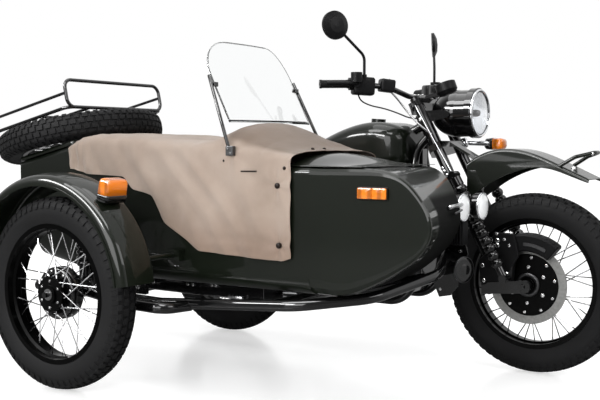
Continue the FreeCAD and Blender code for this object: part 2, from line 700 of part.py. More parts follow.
def centre_stand():
    """Folded stand: a sleeve on a pin below the cradle and two legs with their feet."""
    pivot = STAND_PIVOT
    shapes = [rod(pivot - Y * 128, pivot + Y * 128, STAND_PIN_R - RUNNING), rod(pivot - Y * 108, pivot + Y * 108, 13)]
    for hand in (RIGHT, LEFT):
        shapes.append(tube([(pivot.x, hand * 92, pivot.z), (330, hand * 112, 202), (236, hand * 132, 194)], 11, 50))
        shapes.append(rod(V(240, hand * 131, 194), V(222, hand * 168, 192), 11))
    return fuse(shapes)


# ---- sidecar ----
NOSE_BACK = 1050
HULL_REAR = [  # x, low, high: straight runs
    (-345, 560, 800), (-240, 425, 823), (BULKHEAD_X, 388, 868), (20, 376, 868), (190, HULL_FLOOR, RIM_Z),
    (NOSE_BACK, HULL_FLOOR + 6, RIM_Z - 4)]
NOSE_SWEEP = 0.31              # how much shorter the nose is on the motorcycle's side
NOSE_TAPER = 0.11              # slope of that side's coming in towards the front
NOSE_LINE = [  # x, z, edge radius: the nose's outline on the outer side, from below round to the top
    (NOSE_BACK, HULL_FLOOR + 6, BILGE_R), (1120, 377, 54), (1187, 386, 44), (1242, 407, 36), (1290, 430, 30),
    (1335, 454, 26), (1381, 482, 22), (1427, 514, 18), (1462, 551, 14), (1482, 590, 12), (1485, 626, 11),
    (1475, 662, 11), (1456, 694, 11), (1432, 724, 12), (1404, 751, 13), (1370, 772, 15), (1325, 786, 18),
    (1260, 792, 21), (1160, 792, EDGE_R), (NOSE_BACK, RIM_Z - 4, EDGE_R)]


def nose_outline(hand, turn, inset):
    """The nose's outline at one turn (0 on the flat side, 90 degrees at full size) round its edge."""
    points = []
    last = len(NOSE_LINE) - 1
    span = HULL_IN - HULL_OUT
    for k, (x, z, radius) in enumerate(NOSE_LINE):
        before = NOSE_LINE[max(k - 1, 0)]
        after = NOSE_LINE[min(k + 1, last)]
        run = math.hypot(after[0] - before[0], after[1] - before[1])
        out_x = (after[1] - before[1]) / run
        out_z = (before[0] - after[0]) / run
        if k in (0, last):
            out_x, out_z = 0, math.copysign(1, out_z)
        drawn = inset + (radius - inset) * (1 - math.sin(math.radians(turn)))
        off = inset + (radius - inset) * (1 - math.cos(math.radians(turn)))
        share = off / span if hand == RIGHT else 1 - off / span
        ahead = (x - out_x * drawn - NOSE_BACK) * (1 - NOSE_SWEEP * share)
        y = HULL_OUT + off if hand == RIGHT else HULL_IN - off - NOSE_TAPER * ahead
        points.append(V(NOSE_BACK + ahead, y, z - out_z * drawn))
    curve = Part.BSplineCurve()
    curve.interpolate(points)
    return Part.Wire([curve.toShape(), Part.makeLine(points[-1], points[0])])


def hull_form(inset):
    """The hull's closed form, with every wall drawn in by the inset."""
    rear = [(x, HULL_OUT, HULL_IN, low, high, EDGE_R, BILGE_R) for x, low, high in HULL_REAR]
    rear[0] = (rear[0][0] + inset, *rear[0][1:])
    tail = lofted([drawn_in(station, inset) for station in rear], ruled=True)
    far = [nose_outline(LEFT, turn, inset) for turn in (0, 30, 60, 90)]
    near = [nose_outline(RIGHT, turn, inset) for turn in (90, 60, 30, 0)]
    return fuse([tail, Part.makeLoft(far + near, True, True)])


def sidecar_body():
    outer = hull_form(0)
    inner = hull_form(HULL_WALL)
    shell = outer.cut(inner)
    cockpit = slab(outline(plan, (90, -895), (930, -895), [(965, -880), (975, -850)], (975, -465), [(965, -435),
                   (930, -420)], (90, -420)), 600, 1000, Z)
    trunk = slab(outline(plan, (-325, -900), (-70, -900), (-70, -415), (-325, -415)), 700, 1000, Z)
    bulkhead = slab(outline(side, (BULKHEAD_X, 300), (BULKHEAD_X + HULL_WALL, 300), (BULKHEAD_X + HULL_WALL, 1000),
                            (BULKHEAD_X, 1000)), -1000, 0, Y).common(inner)
    ears = []
    pin = on_lid(Part.Vertex(LID_PIN)).Point
    for y in LID_KNUCKLES:
        for edge in (y - KNUCKLE_HALF - 9, y + KNUCKLE_HALF + 1):
            ears.append(rod(V(pin.x, edge, pin.z), V(pin.x, edge + 8, pin.z), 2 * PIN_R))
            ears.append(Part.makeBox(2.5 * PIN_R, 8, 2 * PIN_R, V(pin.x, edge, pin.z - 2 * PIN_R)))
    pins = [on_lid(rod(V(LID_PIN.x, y - 60, LID_PIN.z), V(LID_PIN.x, y + 60, LID_PIN.z), PIN_R + RUNNING))
            for y in LID_KNUCKLES]
    return fuse([shell.cut(cockpit).cut(trunk), bulkhead, *ears]).cut(pins[0]).cut(pins[1])


def sidecar_frame():
    """Tubular chassis below the body, its struts to the motorcycle, and the wheel's trailing arm."""
    wheel_x = WHEEL_LEAD
    outer = [(-230, OUTER_RAIL_Y, 310), (430, OUTER_RAIL_Y - 8, 300), (1000, OUTER_RAIL_Y + 12, 340),
             (1205, -780, 364), (1290, -470, 412), (1235, -262, 482), (1120, -190, 470), (1033, -CRADLE_Y, 440)]
    inner = [(-230, INNER_RAIL_Y, 310), (430, INNER_RAIL_Y, 310), (1000, INNER_RAIL_Y, 334), (1271, -520, 408)]
    shapes = [tube(outer, RAIL_R, 150), tube(inner, RAIL_R - 2, 150)]
    for x, low, high in ((-215, 310, 310), (wheel_x, 304, 310), (900, 333, 330)):
        shapes.append(rod(V(x, OUTER_RAIL_Y, low), V(x, INNER_RAIL_Y, high), 17))
    struts = (  # from the inner rail, out from below the body, to the motorcycle's cradle
        (330, 308, 300, 330, 262, 15), (1000, 334, 345, 1018, 620, 12), (210, 310, 325, 232, 640, 12))
    for x, low, knee, end_x, end_z, radius in struts:
        shapes.append(tube([(x, INNER_RAIL_Y, low), (x, INNER_RAIL_Y + 80, knee), (end_x, -CRADLE_Y, end_z)], radius, 60))
    shapes.append(tube([(wheel_x - 64, OUTER_RAIL_Y - 5, 308), (wheel_x - 64, HULL_OUT - 40, 420),
                        (wheel_x - 64, HULL_OUT - 44, 668)], 15, 60))
    shapes.append(rod(V(wheel_x - 64, HULL_OUT - 44, 655), V(wheel_x - 64, HULL_OUT - 100, 655), 10))
    arm_y = -1080
    shapes.append(tube([(560, OUTER_RAIL_Y, 302), (540, arm_y + 20, 304), (400, arm_y, 312), (wheel_x, arm_y, TYRE_R)], 20, 60))
    shapes.append(rod(V(wheel_x, arm_y + 26, TYRE_R), V(wheel_x, arm_y - 26, TYRE_R), 30))
    shapes.append(rod(V(wheel_x, arm_y + 30, TYRE_R), V(wheel_x, -TRACK - 74, TYRE_R), AXLE_R))
    solid = fuse(shapes).cut(cradle(RIGHT, TUBE_R + FIT)).cut(hull_form(0))
    return max(solid.Solids, key=lambda piece: piece.Volume)


def sidecar_shock():
    x = WHEEL_LEAD - 64
    low = V(x + 20, HULL_OUT - 94, 372)
    return fuse([coil_damper(low, V(x, HULL_OUT - 84, 655), 25, 9),
                 rod(low, V(x + 30, -1060, 350), 11)]).cut(sidecar_frame())


def sidecar_mudguard():
    """Deep guard over the sidecar wheel, with a flat inner side, a rolled lip and a stay to the body."""
    centre = V(WHEEL_LEAD - 7, 0, TYRE_R + 20)
    low = GUARD_R - 62
    section = [(low, GUARD_IN), (GUARD_R - 26, GUARD_IN), [(GUARD_R - 8, GUARD_IN - 8), (GUARD_R, GUARD_IN - 26)],
               [(GUARD_R + 2, (GUARD_IN + GUARD_OUT) / 2), (GUARD_R - 4, GUARD_OUT + 30)],
               [(GUARD_R - 14, GUARD_OUT + 8), (GUARD_R - 40, GUARD_OUT)], (GUARD_R - 40, GUARD_OUT + GUARD_THICK),
               [(GUARD_R - 16, GUARD_OUT + 10), (GUARD_R - 7, GUARD_OUT + 32)],
               [(GUARD_R - 1, (GUARD_IN + GUARD_OUT) / 2), (GUARD_R - 3, GUARD_IN - 27)],
               [(GUARD_R - 10, GUARD_IN - 10), (GUARD_R - 27, GUARD_IN - GUARD_THICK)], (low, GUARD_IN - GUARD_THICK)]
    shell = arch(section, centre, GUARD_LOW, GUARD_HIGH)
    lip = arch([(GUARD_R - 44, GUARD_OUT - 4), (GUARD_R - 36, GUARD_OUT - 4), (GUARD_R - 36, GUARD_OUT + 4),
                (GUARD_R - 44, GUARD_OUT + 4)], centre, GUARD_LOW, GUARD_HIGH)
    stays, blocks = [], []
    for turn in STAY_TURNS:
        out = V(math.cos(math.radians(turn)), 0, math.sin(math.radians(turn)))
        seat_at = centre + out * ((low + GUARD_R - 26) / 2)
        stays.append(rod(seat_at + Y * (HULL_OUT - 20), seat_at + Y * (GUARD_IN - 1), 9))
        blocks.append(Part.makeBox(60, 30 - FIT, 40, seat_at + V(-30, HULL_OUT - 30, -20)))
    return fuse([shell, lip, *stays, *blocks])


def mudguard_lamp():
    centre = V(WHEEL_LEAD - 7, 0, TYRE_R + 20)
    turn = math.radians(52)
    seat_at = centre + V(math.cos(turn), 0, math.sin(turn)) * GUARD_R + Y * -1180
    base = Part.makeBox(56, 100, 26, V(-28, -50, -6))
    glass = Part.makeBox(46, 96, 54, V(-14, -48, 20))
    body = fuse([base, glass.makeFillet(10, [e for e in glass.Edges if e.BoundBox.YLength > 50])])
    body.rotate(V(0, 0, 0), Y, 11)
    body = placed(body, seat_at)
    return body.cut(turned([(0, -1300), (GUARD_R + 2 + FIT, -1300), (GUARD_R + 2 + FIT, -1050), (0, -1050)], centre, Y))


def side_marker():
    frame_wire = outline(side, (1214, 694), (1324, 694), (1324, 736), (1214, 736))
    return slab(frame_wire, -1000, -700, Y).common(hull_form(-8)).cut(hull_form(-FIT))


def sidecar_lamps():
    return Part.makeCompound([mudguard_lamp(), side_marker()])


def on_lid(shape):
    """Lays a shape drawn flat, from the hinge forward and up, on the sloping lid."""
    copy = shape.copy()
    copy.rotate(V(0, 0, 0), Y, -LID_TILT)
    copy.translate(LID_HINGE)
    return copy


LID_LENGTH = 318
SPARE_Y = -657
SPARE_UP = LID_THICK + SPARE_GAP + TYRE_HALF


def trunk_lid():
    """Pressed lid with a boss for the spare wheel and two hinge knuckles."""
    panel = slab(outline(plan, (0, HULL_OUT + 4), (LID_LENGTH, HULL_OUT + 4), (LID_LENGTH, HULL_IN - 4), (0, HULL_IN - 4)),
                 4, LID_THICK, Z)
    panel = panel.makeFillet(12, [e for e in panel.Edges if e.BoundBox.ZMin > LID_THICK - 1 or e.BoundBox.ZLength > 10])
    boss = rod(V(SPARE_ALONG, SPARE_Y, LID_THICK - 2), V(SPARE_ALONG, SPARE_Y, SPARE_UP - FLANGE_HALF - 12 - FIT), 45)
    stud = rod(V(SPARE_ALONG, SPARE_Y, LID_THICK - 2), V(SPARE_ALONG, SPARE_Y, SPARE_UP + 90), AXLE_R - 1)
    knuckles = []
    for y in LID_KNUCKLES:
        low, high = V(LID_PIN.x, y - KNUCKLE_HALF, LID_PIN.z), V(LID_PIN.x, y + KNUCKLE_HALF, LID_PIN.z)
        knuckles.append(rod(low, high, 7))
        knuckles.append(rod(low - Y * 10, high + Y * 10, PIN_R))
        knuckles.append(Part.makeBox(7, 2 * KNUCKLE_HALF, LID_THICK - LID_PIN.z - 4, low + V(-7, 0, 0)))
        knuckles.append(Part.makeBox(20, 2 * KNUCKLE_HALF, 4, V(LID_PIN.x - 7, y - KNUCKLE_HALF, 4)))
    return on_lid(fuse([panel, boss, stud, *knuckles]))


def spare_piece(shape):
    flat = shape.copy()
    flat.rotate(V(0, 0, 0), X, 90)
    flat.translate(V(SPARE_ALONG, SPARE_Y, SPARE_UP))
    return on_lid(flat)


def rack():
    """Luggage rack over the spare wheel: a hoop in front, two side rails each side, slats and a centre plate."""
    up = SPARE_UP + TYRE_HALF + 18
    wide = 265
    ahead = 322
    tail = -262
    hoop = loop([(ahead, SPARE_Y - wide, up), (ahead, SPARE_Y + wide, up), (ahead, SPARE_Y + wide, up + 108),
                 (ahead, SPARE_Y - wide, up + 108)], RACK_R, 34)
    base = loop([(ahead, SPARE_Y - wide, up), (ahead, SPARE_Y + wide, up), (tail, SPARE_Y + wide, up),
                 (tail, SPARE_Y - wide, up)], RACK_R, 34)
    shapes = [hoop, base]
    for hand in (RIGHT, LEFT):
        y = SPARE_Y + hand * wide
        shapes.append(tube([(ahead, y, up + 56), (tail + 60, y, up + 56), (tail, y, up)], RACK_R - 1, 40))
    for y in (-150, -50, 50, 150):
        shapes.append(rod(V(tail, SPARE_Y + y, up), V(ahead, SPARE_Y + y, up), RACK_R - 1))
    for x in (SPARE_ALONG - 60, SPARE_ALONG + 60):
        shapes.append(rod(V(x, SPARE_Y - wide, up), V(x, SPARE_Y + wide, up), RACK_R - 1))
    plate = Part.makeBox(130, 110, 6, V(SPARE_ALONG - 65, SPARE_Y - 55, up - 6))
    post = rod(V(SPARE_ALONG, SPARE_Y, SPARE_UP + FLANGE_HALF + 12 + FIT), V(SPARE_ALONG, SPARE_Y, up), 24)
    solid = fuse([*shapes, plate, post])
    stud = rod(V(SPARE_ALONG, SPARE_Y, 0), V(SPARE_ALONG, SPARE_Y, SPARE_UP + 90 + FIT), AXLE_R - 1 + FIT)
    return on_lid(solid.cut(stud))


def cover():
    """Cockpit cover with side flaps, drawn over the closed hull form."""
    shape = slab(outline(side, (BULKHEAD_X + 14, 890), [(60, 908), (250, 905)], [(430, 878), (560, 872)], (650, 884),
                         (702, 944), (865, 886), (984, 822), (984, 484), (598, 496), (438, 592), (384, 684),
                         (271, 702), (248, 750), (BULKHEAD_X + 14, 768)),
                 HULL_OUT - COVER_THICK, HULL_IN + COVER_THICK, Y)
    shape = shape.cut(hull_form(-FIT))
    for hand in (RIGHT, LEFT):
        shape = shape.cut(rod(*stay_line(hand), STAY_R + FIT))
    return max(shape.Solids, key=lambda s: s.Volume)


def windshield_line(up):
    """A point of the windshield's side line, by its height above the cover's crest."""
    return V(694 - up * math.tan(math.radians(SCREEN_LEAN)), 0, 944 + FIT + up)


SCREEN_LEAN = 27
SCREEN_HIGH = 292
SCREEN_Y = (-885, -428)


def windshield():
    """Bowed clear sheet with rounded upper corners."""
    low, high = SCREEN_Y
    mid = (low + high) / 2
    foot, crown = windshield_line(0), windshield_line(SCREEN_HIGH)
    bow, thick = 34, 4
    strip = outline(plan, (foot.x, low), [(foot.x + bow, mid), (foot.x, high)], (foot.x - thick, high),
                    [(foot.x + bow - thick, mid), (foot.x - thick, low)])
    sheet = Part.Face(strip).extrude(crown - foot)
    sheet.translate(Z * foot.z)
    corner = 128
    shape = outline(front, (low, foot.z - 1), (high, foot.z - 1), (high, crown.z - corner),
                    [(high - corner * 0.29, crown.z - corner * 0.29), (high - corner, crown.z)],
                    (low + corner, crown.z), [(low + corner * 0.29, crown.z - corner * 0.29), (low, crown.z - corner)])
    return sheet.common(slab(shape, 0, 2000, X))


STAY_R = 6


def stay_line(hand):
    """The upper and lower end of the rod at one edge of the windshield."""
    edge, wall = (SCREEN_Y[0], HULL_OUT) if hand == RIGHT else (SCREEN_Y[1], HULL_IN)
    return V(612, edge + hand * (STAY_R + 5), 1104), V(745, wall + hand * (COVER_THICK + STAY_R + 3), 842)


def windshield_stays():
    """A rod at each edge of the sheet, clamped to it near the top, its foot bracketed to the cockpit's side."""
    shapes = []
    for hand, edge, wall in ((RIGHT, SCREEN_Y[0], HULL_OUT), (LEFT, SCREEN_Y[1], HULL_IN)):
        crown, foot = stay_line(hand)
        pinch = crown + (foot - crown) * 0.12
        face = wall + hand * (COVER_THICK + FIT)
        pad = block_between(pinch.x - 11, pinch.x + 11, pinch.y, edge + hand * FIT, pinch.z - 7, pinch.z + 7)
        clamp = block_between(foot.x - 17, foot.x + 17, foot.y + hand * 7, face, foot.z - 12, foot.z + 22)
        shapes.append(fuse([rod(crown, foot, STAY_R), pad, clamp]))
    return Part.makeCompound(shapes)


def block_between(x_low, x_high, y_one, y_other, z_low, z_high):
    """A box from its corners, the two across in either order."""
    y_low = min(y_one, y_other)
    return Part.makeBox(x_high - x_low, abs(y_one - y_other), z_high - z_low, V(x_low, y_low, z_low))


# ---- the pieces, by node ----
PIECES = {
    "main_frame": main_frame,
    "engine": engine,
    "cylinders": lambda: both(cylinder),
    "intakes": intakes,
    "exhausts": lambda: both(exhaust),
    "swingarm": swingarm,
    "rear_shocks": lambda: both(rear_shock),
    "fuel_tank": fuel_tank,
    "seat": seat,
    "rear_mudguard": rear_mudguard,
    "tail_lamp": tail_lamp,
    "crash_bar": crash_bar,
    "aux_lamps": aux_lamps,
    "centre_stand": centre_stand,
    "fork": fork,
    "leading_link": leading_link,
    "front_shocks": lambda: both(front_shock),
    "front_caliper": caliper,
    "handlebar": handlebar,
    "grips": lambda: both(grip),
    "bar_controls": lambda: both(control),
    "mirrors": lambda: both(mirror),
    "headlamp": headlamp,
    "headlamp_lens": headlamp_lens,
    "instrument": instrument,
    "front_mudguard": front_mudguard,
    "indicators": lambda: both(indicator),
    "front_tyre": lambda: placed(tyre(), FRONT_AXLE),
    "front_wheel": lambda: placed(wheel(-DISC_AT), FRONT_AXLE),
    "rear_tyre": lambda: placed(tyre(), V(0, 0, TYRE_R)),
    "rear_wheel": lambda: placed(wheel(), V(0, 0, TYRE_R)),
    "sidecar_tyre": lambda: placed(tyre(), V(WHEEL_LEAD, -TRACK, TYRE_R)),
    "sidecar_wheel": lambda: placed(wheel(), V(WHEEL_LEAD, -TRACK, TYRE_R)),
    "sidecar_frame": sidecar_frame,
    "sidecar_shock": sidecar_shock,
    "sidecar_mudguard": sidecar_mudguard,
    "sidecar_lamps": sidecar_lamps,
    "sidecar_body": sidecar_body,
    "trunk_lid": trunk_lid,
    "spare_tyre": lambda: spare_piece(tyre()),
    "spare_wheel": lambda: spare_piece(wheel()),
    "rack": rack,
    "cover": cover,
    "windshield": windshield,
    "windshield_stays": windshield_stays,
}

os.makedirs("parts", exist_ok=True)
for name, make in PIECES.items():
    save(name, make())
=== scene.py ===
# %% [markdown]
# # A motorcycle with a sidecar
#
# The metal of this machine is already modelled as solids. This lesson loads
# them, gives every one a finish made of shader nodes, and adds what solids
# are poor at: cloth, tread, bolts, lamp glass and cables.

# %% Load the solids
import math

import bmesh
import bpy
import numpy as np
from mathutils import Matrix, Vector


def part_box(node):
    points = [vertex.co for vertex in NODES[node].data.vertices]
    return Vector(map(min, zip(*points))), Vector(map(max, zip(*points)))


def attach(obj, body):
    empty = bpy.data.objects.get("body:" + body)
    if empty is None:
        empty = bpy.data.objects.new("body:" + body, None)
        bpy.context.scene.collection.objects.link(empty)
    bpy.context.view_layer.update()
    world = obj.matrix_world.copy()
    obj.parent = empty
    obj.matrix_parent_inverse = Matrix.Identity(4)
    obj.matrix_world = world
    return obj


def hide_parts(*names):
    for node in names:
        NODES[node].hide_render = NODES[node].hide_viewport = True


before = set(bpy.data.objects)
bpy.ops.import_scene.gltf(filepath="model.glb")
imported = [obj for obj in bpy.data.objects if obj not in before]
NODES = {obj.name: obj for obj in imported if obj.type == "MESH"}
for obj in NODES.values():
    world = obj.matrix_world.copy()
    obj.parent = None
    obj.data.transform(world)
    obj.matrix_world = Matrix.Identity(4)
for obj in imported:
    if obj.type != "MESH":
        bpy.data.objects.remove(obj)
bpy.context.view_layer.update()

# %% [markdown]
# ## Where things are
#
# The solids were drawn with the ground point below the rear axle as zero, and
# then moved so that zero is below the middle of the whole rig. One helper
# turns the first kind of coordinates into the second, so that all places
# below can be read as forward, left and up from the rear axle's ground point.

# %% Places
REAR_GROUND = np.array([-0.582, 0.398, 0.0])
TYRE_R, WHEELBASE = 0.3425, 1.47
TRACK, WHEEL_LEAD = 1.18, 0.159
FORWARD, RIGHT, UP = (1, 0, 0), (0, -1, 0), (0, 0, 1)
SIDES = (("right", -1), ("left", 1))


def at(x, y, z):
    """Forward, left and up from the ground below the rear axle, as a point of the scene."""
    return REAR_GROUND + np.array([x, y, z], float)


FRONT_AXLE = at(WHEELBASE, 0, TYRE_R)
BACK_AXLE = at(0, 0, TYRE_R)
SIDE_AXLE = at(WHEEL_LEAD, -TRACK, TYRE_R)


# %% [markdown]
# ## The camera
#
# A long lens at waist height, from the right front, keeps the wheels round.
# The camera is placed first because every finish is judged through it.

# %% Camera
lens = bpy.data.cameras.new("camera")
lens.lens = 55.9
lens.sensor_width = 36.0
camera = bpy.data.objects.new("camera", lens)
camera.location = at(2.6946, -3.4268, 0.8637)
camera.rotation_euler = (math.pi / 2 - 0.0585, 0.0, 0.5918)
bpy.context.scene.collection.objects.link(camera)
bpy.context.scene.camera = camera


# %% [markdown]
# ## Finishes
#
# A finish is a small tree of shader nodes. One helper starts each tree with a
# Principled shader and sets its plain numbers; others add noise, waves, masks
# and bumps. A socket knows the tree it is in, so most helpers need only the
# sockets that they join. All patterns are laid out on Object coordinates, so
# they stay put when a part moves.

# %% Helpers for finishes
def finish_of(name, colour, rough, metal=0.0, coat=0.0, **more):
    """A new material with one Principled shader; returns the material and the shader."""
    material = bpy.data.materials.new(name)
    material.use_nodes = True
    material.diffuse_color = (*colour, 1.0)
    shader = material.node_tree.nodes["Principled BSDF"]
    shader.inputs["Base Color"].default_value = (*colour, 1.0)
    shader.inputs["Roughness"].default_value = rough
    shader.inputs["Metallic"].default_value = metal
    shader.inputs["Coat Weight"].default_value = coat
    shader.inputs["Coat Roughness"].default_value = 0.04
    for socket, value in more.items():
        shader.inputs[socket.replace("_", " ")].default_value = value
    return material, shader


def add(tree, kind, **settings):
    """Adds a node to a tree and sets its properties, or its sockets where the name is a socket's."""
    node = tree.nodes.new(kind)
    for key, value in settings.items():
        if hasattr(node, key):
            setattr(node, key, value)
        else:
            node.inputs[key.replace("_", " ")].default_value = value
    return node


def join(out, into):
    """Links two sockets of one tree."""
    into.id_data.links.new(out, into)


def laid_out(node):
    """The node reads Object coordinates."""
    place = add(node.id_data, "ShaderNodeTexCoord")
    join(place.outputs["Object"], node.inputs["Vector"])
    return node


def noise(tree, scale, detail=4.0, stretch=(1, 1, 1)):
    """Noise, scaled in each direction by the stretch; returns its value socket."""
    scaled = laid_out(add(tree, "ShaderNodeMapping", Scale=stretch))
    cloud = add(tree, "ShaderNodeTexNoise", Scale=scale, Detail=detail)
    join(scaled.outputs["Vector"], cloud.inputs["Vector"])
    return cloud.outputs["Fac"]


def bands(tree, direction, scale):
    """Straight waves that follow each other in one direction; returns their value socket."""
    waves = add(tree, "ShaderNodeTexWave", wave_type="BANDS", bands_direction=direction, Scale=scale)
    return laid_out(waves).outputs["Fac"]


def ramp(value, stops, steps="LINEAR"):
    """A colour ramp from a value: stops are (place, colour) pairs."""
    node = add(value.id_data, "ShaderNodeValToRGB")
    node.color_ramp.interpolation = steps
    marks = node.color_ramp.elements
    while len(marks) < len(stops):
        marks.new(0.5)
    for mark, (place, colour) in zip(marks, stops):
        mark.position = place
        mark.color = (*colour, 1.0)
    join(value, node.inputs["Fac"])
    return node.outputs["Color"]


def spread(value, low, high, start=0.0, end=1.0, steps="LINEAR"):
    """Carries a value from start..end to low..high."""
    node = add(value.id_data, "ShaderNodeMapRange", interpolation_type=steps,
               From_Min=start, From_Max=end, To_Min=low, To_Max=high)
    join(value, node.inputs["Value"])
    return node.outputs["Result"]


def between(tree, axis, low, high):
    """A mask that rises smoothly from 0 to 1 between two places along one axis."""
    parts = laid_out(add(tree, "ShaderNodeSeparateXYZ"))
    zero = REAR_GROUND["XYZ".index(axis)]
    return spread(parts.outputs[axis], 0.0, 1.0, zero + low, zero + high, "SMOOTHSTEP")


def both(one, other):
    """The product of two values."""
    node = add(one.id_data, "ShaderNodeMath", operation="MULTIPLY")
    join(one, node.inputs[0])
    join(other, node.inputs[1])
    return node.outputs["Value"]


def blended(mask, base, tint):
    """The base colour, multiplied by a tint where the mask is 1."""
    node = add(mask.id_data, "ShaderNodeMix", data_type="RGBA", blend_type="MULTIPLY", B=(*tint, 1.0))
    join(mask, node.inputs["Factor"])
    join(base, node.inputs["A"])
    return node.outputs["Result"]


def stained(base, stain, strength):
    """The base colour, multiplied by a pattern as far as the strength says."""
    node = add(base.id_data, "ShaderNodeMix", data_type="RGBA", blend_type="MULTIPLY", Factor=strength)
    join(base, node.inputs["A"])
    join(stain, node.inputs["B"])
    return node.outputs["Result"]


def shaded(shader, value, colour, *stops):
    """The shader's colour, made darker or lighter along a value: stops are (place, factor) pairs."""
    tones = [(place, tuple(min(1.0, c * factor) for c in colour)) for place, factor in stops]
    join(ramp(value, tones), shader.inputs["Base Color"])


def bump(shader, height, strength, distance):
    """Bumps on the shader's surface, from a height."""
    node = add(shader.id_data, "ShaderNodeBump", Strength=strength, Distance=distance)
    join(height, node.inputs["Height"])
    join(node.outputs["Normal"], shader.inputs["Normal"])


# %% [markdown]
# ## Paint
#
# The bodywork is a green so dark that it reads as black in shade. It is
# sprayed, baked and lacquered, so it needs a clear coat over a base that
# varies very little, with a faint orange peel in the lacquer. The low front
# of the hull's nose is duller, and painted darker as painted shade.

# %% Paint and enamel
def painted(name, colour, rough, coat, peel=0.03):
    """Lacquered paint, whose peel is the strength of the lacquer's bumps."""
    material, shader = finish_of(name, colour, rough, coat=coat, Specular_IOR_Level=0.1)
    shaded(shader, noise(shader.id_data, 3.0), colour, (0.35, 0.9), (0.65, 1.12))
    bump(shader, noise(shader.id_data, 260.0, 2.0), peel, 0.0004)
    return material


GREEN = (0.0045, 0.0068, 0.0034)
GREEN_ROUGH, GREEN_COAT = 0.42, 0.6
green = painted("forest_green", GREEN, GREEN_ROUGH, GREEN_COAT)
shaded_nose_paint = painted("nose_painted_shade", GREEN, GREEN_ROUGH, GREEN_COAT)
enamel = painted("black_enamel", (0.0035, 0.0035, 0.0037), 0.25, 1.0)
gloss_black = painted("gloss_black", (0.003, 0.003, 0.0032), 0.15, 1.0, 0.01)

# Painted shade: on the low front of the nose the paint is tinted dark, made rougher and loses its clear coat.
tree = shaded_nose_paint.node_tree
sockets = tree.nodes["Principled BSDF"].inputs
nose_shade_mask = both(between(tree, "Y", -0.835, -0.800),
               both(between(tree, "X", 1.15, 1.19), between(tree, "Z", 0.715, 0.690)))
paint = sockets["Base Color"].links[0].from_socket
join(blended(nose_shade_mask, paint, (0.25, 0.2, 0.3)), sockets["Base Color"])
join(spread(nose_shade_mask, GREEN_ROUGH, 0.8), sockets["Roughness"])
join(spread(nose_shade_mask, GREEN_COAT, 0.0), sockets["Coat Weight"])


# %% [markdown]
# ## Metals
#
# Chrome is almost a mirror. Cast alloy is grey and slightly rough, with a
# fine grain. Steel lies between them, brighter on bolts than on brackets.

# %% Metals
def metal(name, colour, rough, grain, strength, change=0.08):
    """Bare metal: noise of the given grain changes its roughness, tone and bumps together."""
    material, shader = finish_of(name, colour, rough, metal=1.0)
    field = noise(shader.id_data, grain, 5.0)
    join(spread(field, max(0.02, rough - change), rough + change), shader.inputs["Roughness"])
    shaded(shader, field, colour, (0.3, 0.86), (0.7, 1.06))
    bump(shader, field, strength, 0.0005)
    return material


chrome = metal("chrome", (0.78, 0.79, 0.81), 0.08, 40.0, 0.02, 0.04)
alloy = metal("cast_alloy", (0.42, 0.42, 0.42), 0.45, 420.0, 0.25)
steel = metal("bright_steel", (0.6, 0.6, 0.61), 0.28, 160.0, 0.08)
dark_steel = metal("dark_steel", (0.09, 0.09, 0.092), 0.4, 200.0, 0.12)
bolt_steel = metal("bolt_steel", (0.72, 0.72, 0.72), 0.2, 60.0, 0.03, 0.05)
silver = metal("lamp_silver", (0.93, 0.94, 0.95), 0.12, 30.0, 0.02, 0.03)


# %% [markdown]
# ## Rubber, plastic and vinyl
#
# These are dull, but never one flat tone: tyres carry dust, plastic has a
# fine texture from its mould, and seat vinyl has a pebbled grain.

# %% Soft and moulded finishes
def moulded(name, colour, rough, grain, strength):
    """A dull finish with slow changes of tone and fine bumps."""
    material, shader = finish_of(name, colour, rough, Specular_IOR_Level=0.12)
    shaded(shader, noise(shader.id_data, 6.0, 6.0), colour, (0.3, 0.8), (0.7, 1.2))
    bump(shader, noise(shader.id_data, grain, 3.0), strength, 0.0006)
    return material


tyre_rubber = moulded("tyre_rubber", (0.0115, 0.0115, 0.012), 0.68, 320.0, 0.35)
rubber = moulded("rubber", (0.010, 0.010, 0.010), 0.6, 500.0, 0.2)
plastic = moulded("black_plastic", (0.007, 0.007, 0.0075), 0.38, 900.0, 0.15)
snap_brown = moulded("snap_brown", (0.02, 0.013, 0.01), 0.35, 300.0, 0.05)
vinyl = moulded("seat_vinyl", (0.010, 0.0095, 0.009), 0.5, 700.0, 0.4)


# %% [markdown]
# ## Canvas
#
# Coated canvas is a plain weave of fine threads, dull with a little sheen at
# grazing angles. Two crossed wave patterns make the weave, and slow noise
# gives the uneven fading that such covers have. Painted shade makes it darker
# towards the hem and on the top slope in front of the windshield.

# %% Canvas
CANVAS_TONE = (0.46, 0.362, 0.298)
CANVAS_DARK, CANVAS_PALE = (0.385, 0.298, 0.238), (0.53, 0.43, 0.362)
THREADS = 190.0
canvas, shader = finish_of("tan_canvas", CANVAS_TONE, 0.88, Sheen_Weight=0.25, Sheen_Roughness=0.5,
                           Specular_IOR_Level=0.2)
tree = canvas.node_tree
weave = both(bands(tree, "X", THREADS), bands(tree, "Z", THREADS))
faded = ramp(noise(tree, 5.0, 6.0), [(0.3, CANVAS_DARK), (0.5, CANVAS_TONE), (0.72, CANVAS_PALE)])
woven = stained(faded, ramp(weave, [(0.0, (0.75, 0.73, 0.7)), (0.6, (1, 1, 1))]), 0.35)
# Painted shade: the cloth is darker towards the hem.
hem_shaded = blended(between(tree, "Z", 0.66, 0.50), woven, (0.70, 0.64, 0.60))
# Painted shade: the top slope in front of the windshield is darker.
slope = both(between(tree, "X", 0.685, 0.715), between(tree, "Y", -0.925, -0.895))
join(blended(slope, hem_shaded, (0.50, 0.46, 0.42)), shader.inputs["Base Color"])
creases = add(tree, "ShaderNodeMath", operation="MULTIPLY_ADD")
creases.inputs[1].default_value = 0.08
join(weave, creases.inputs[0])
join(noise(tree, 11.0, 5.0, (1.0, 1.0, 0.45)), creases.inputs[2])
bump(shader, creases.outputs["Value"], 0.55, 0.008)
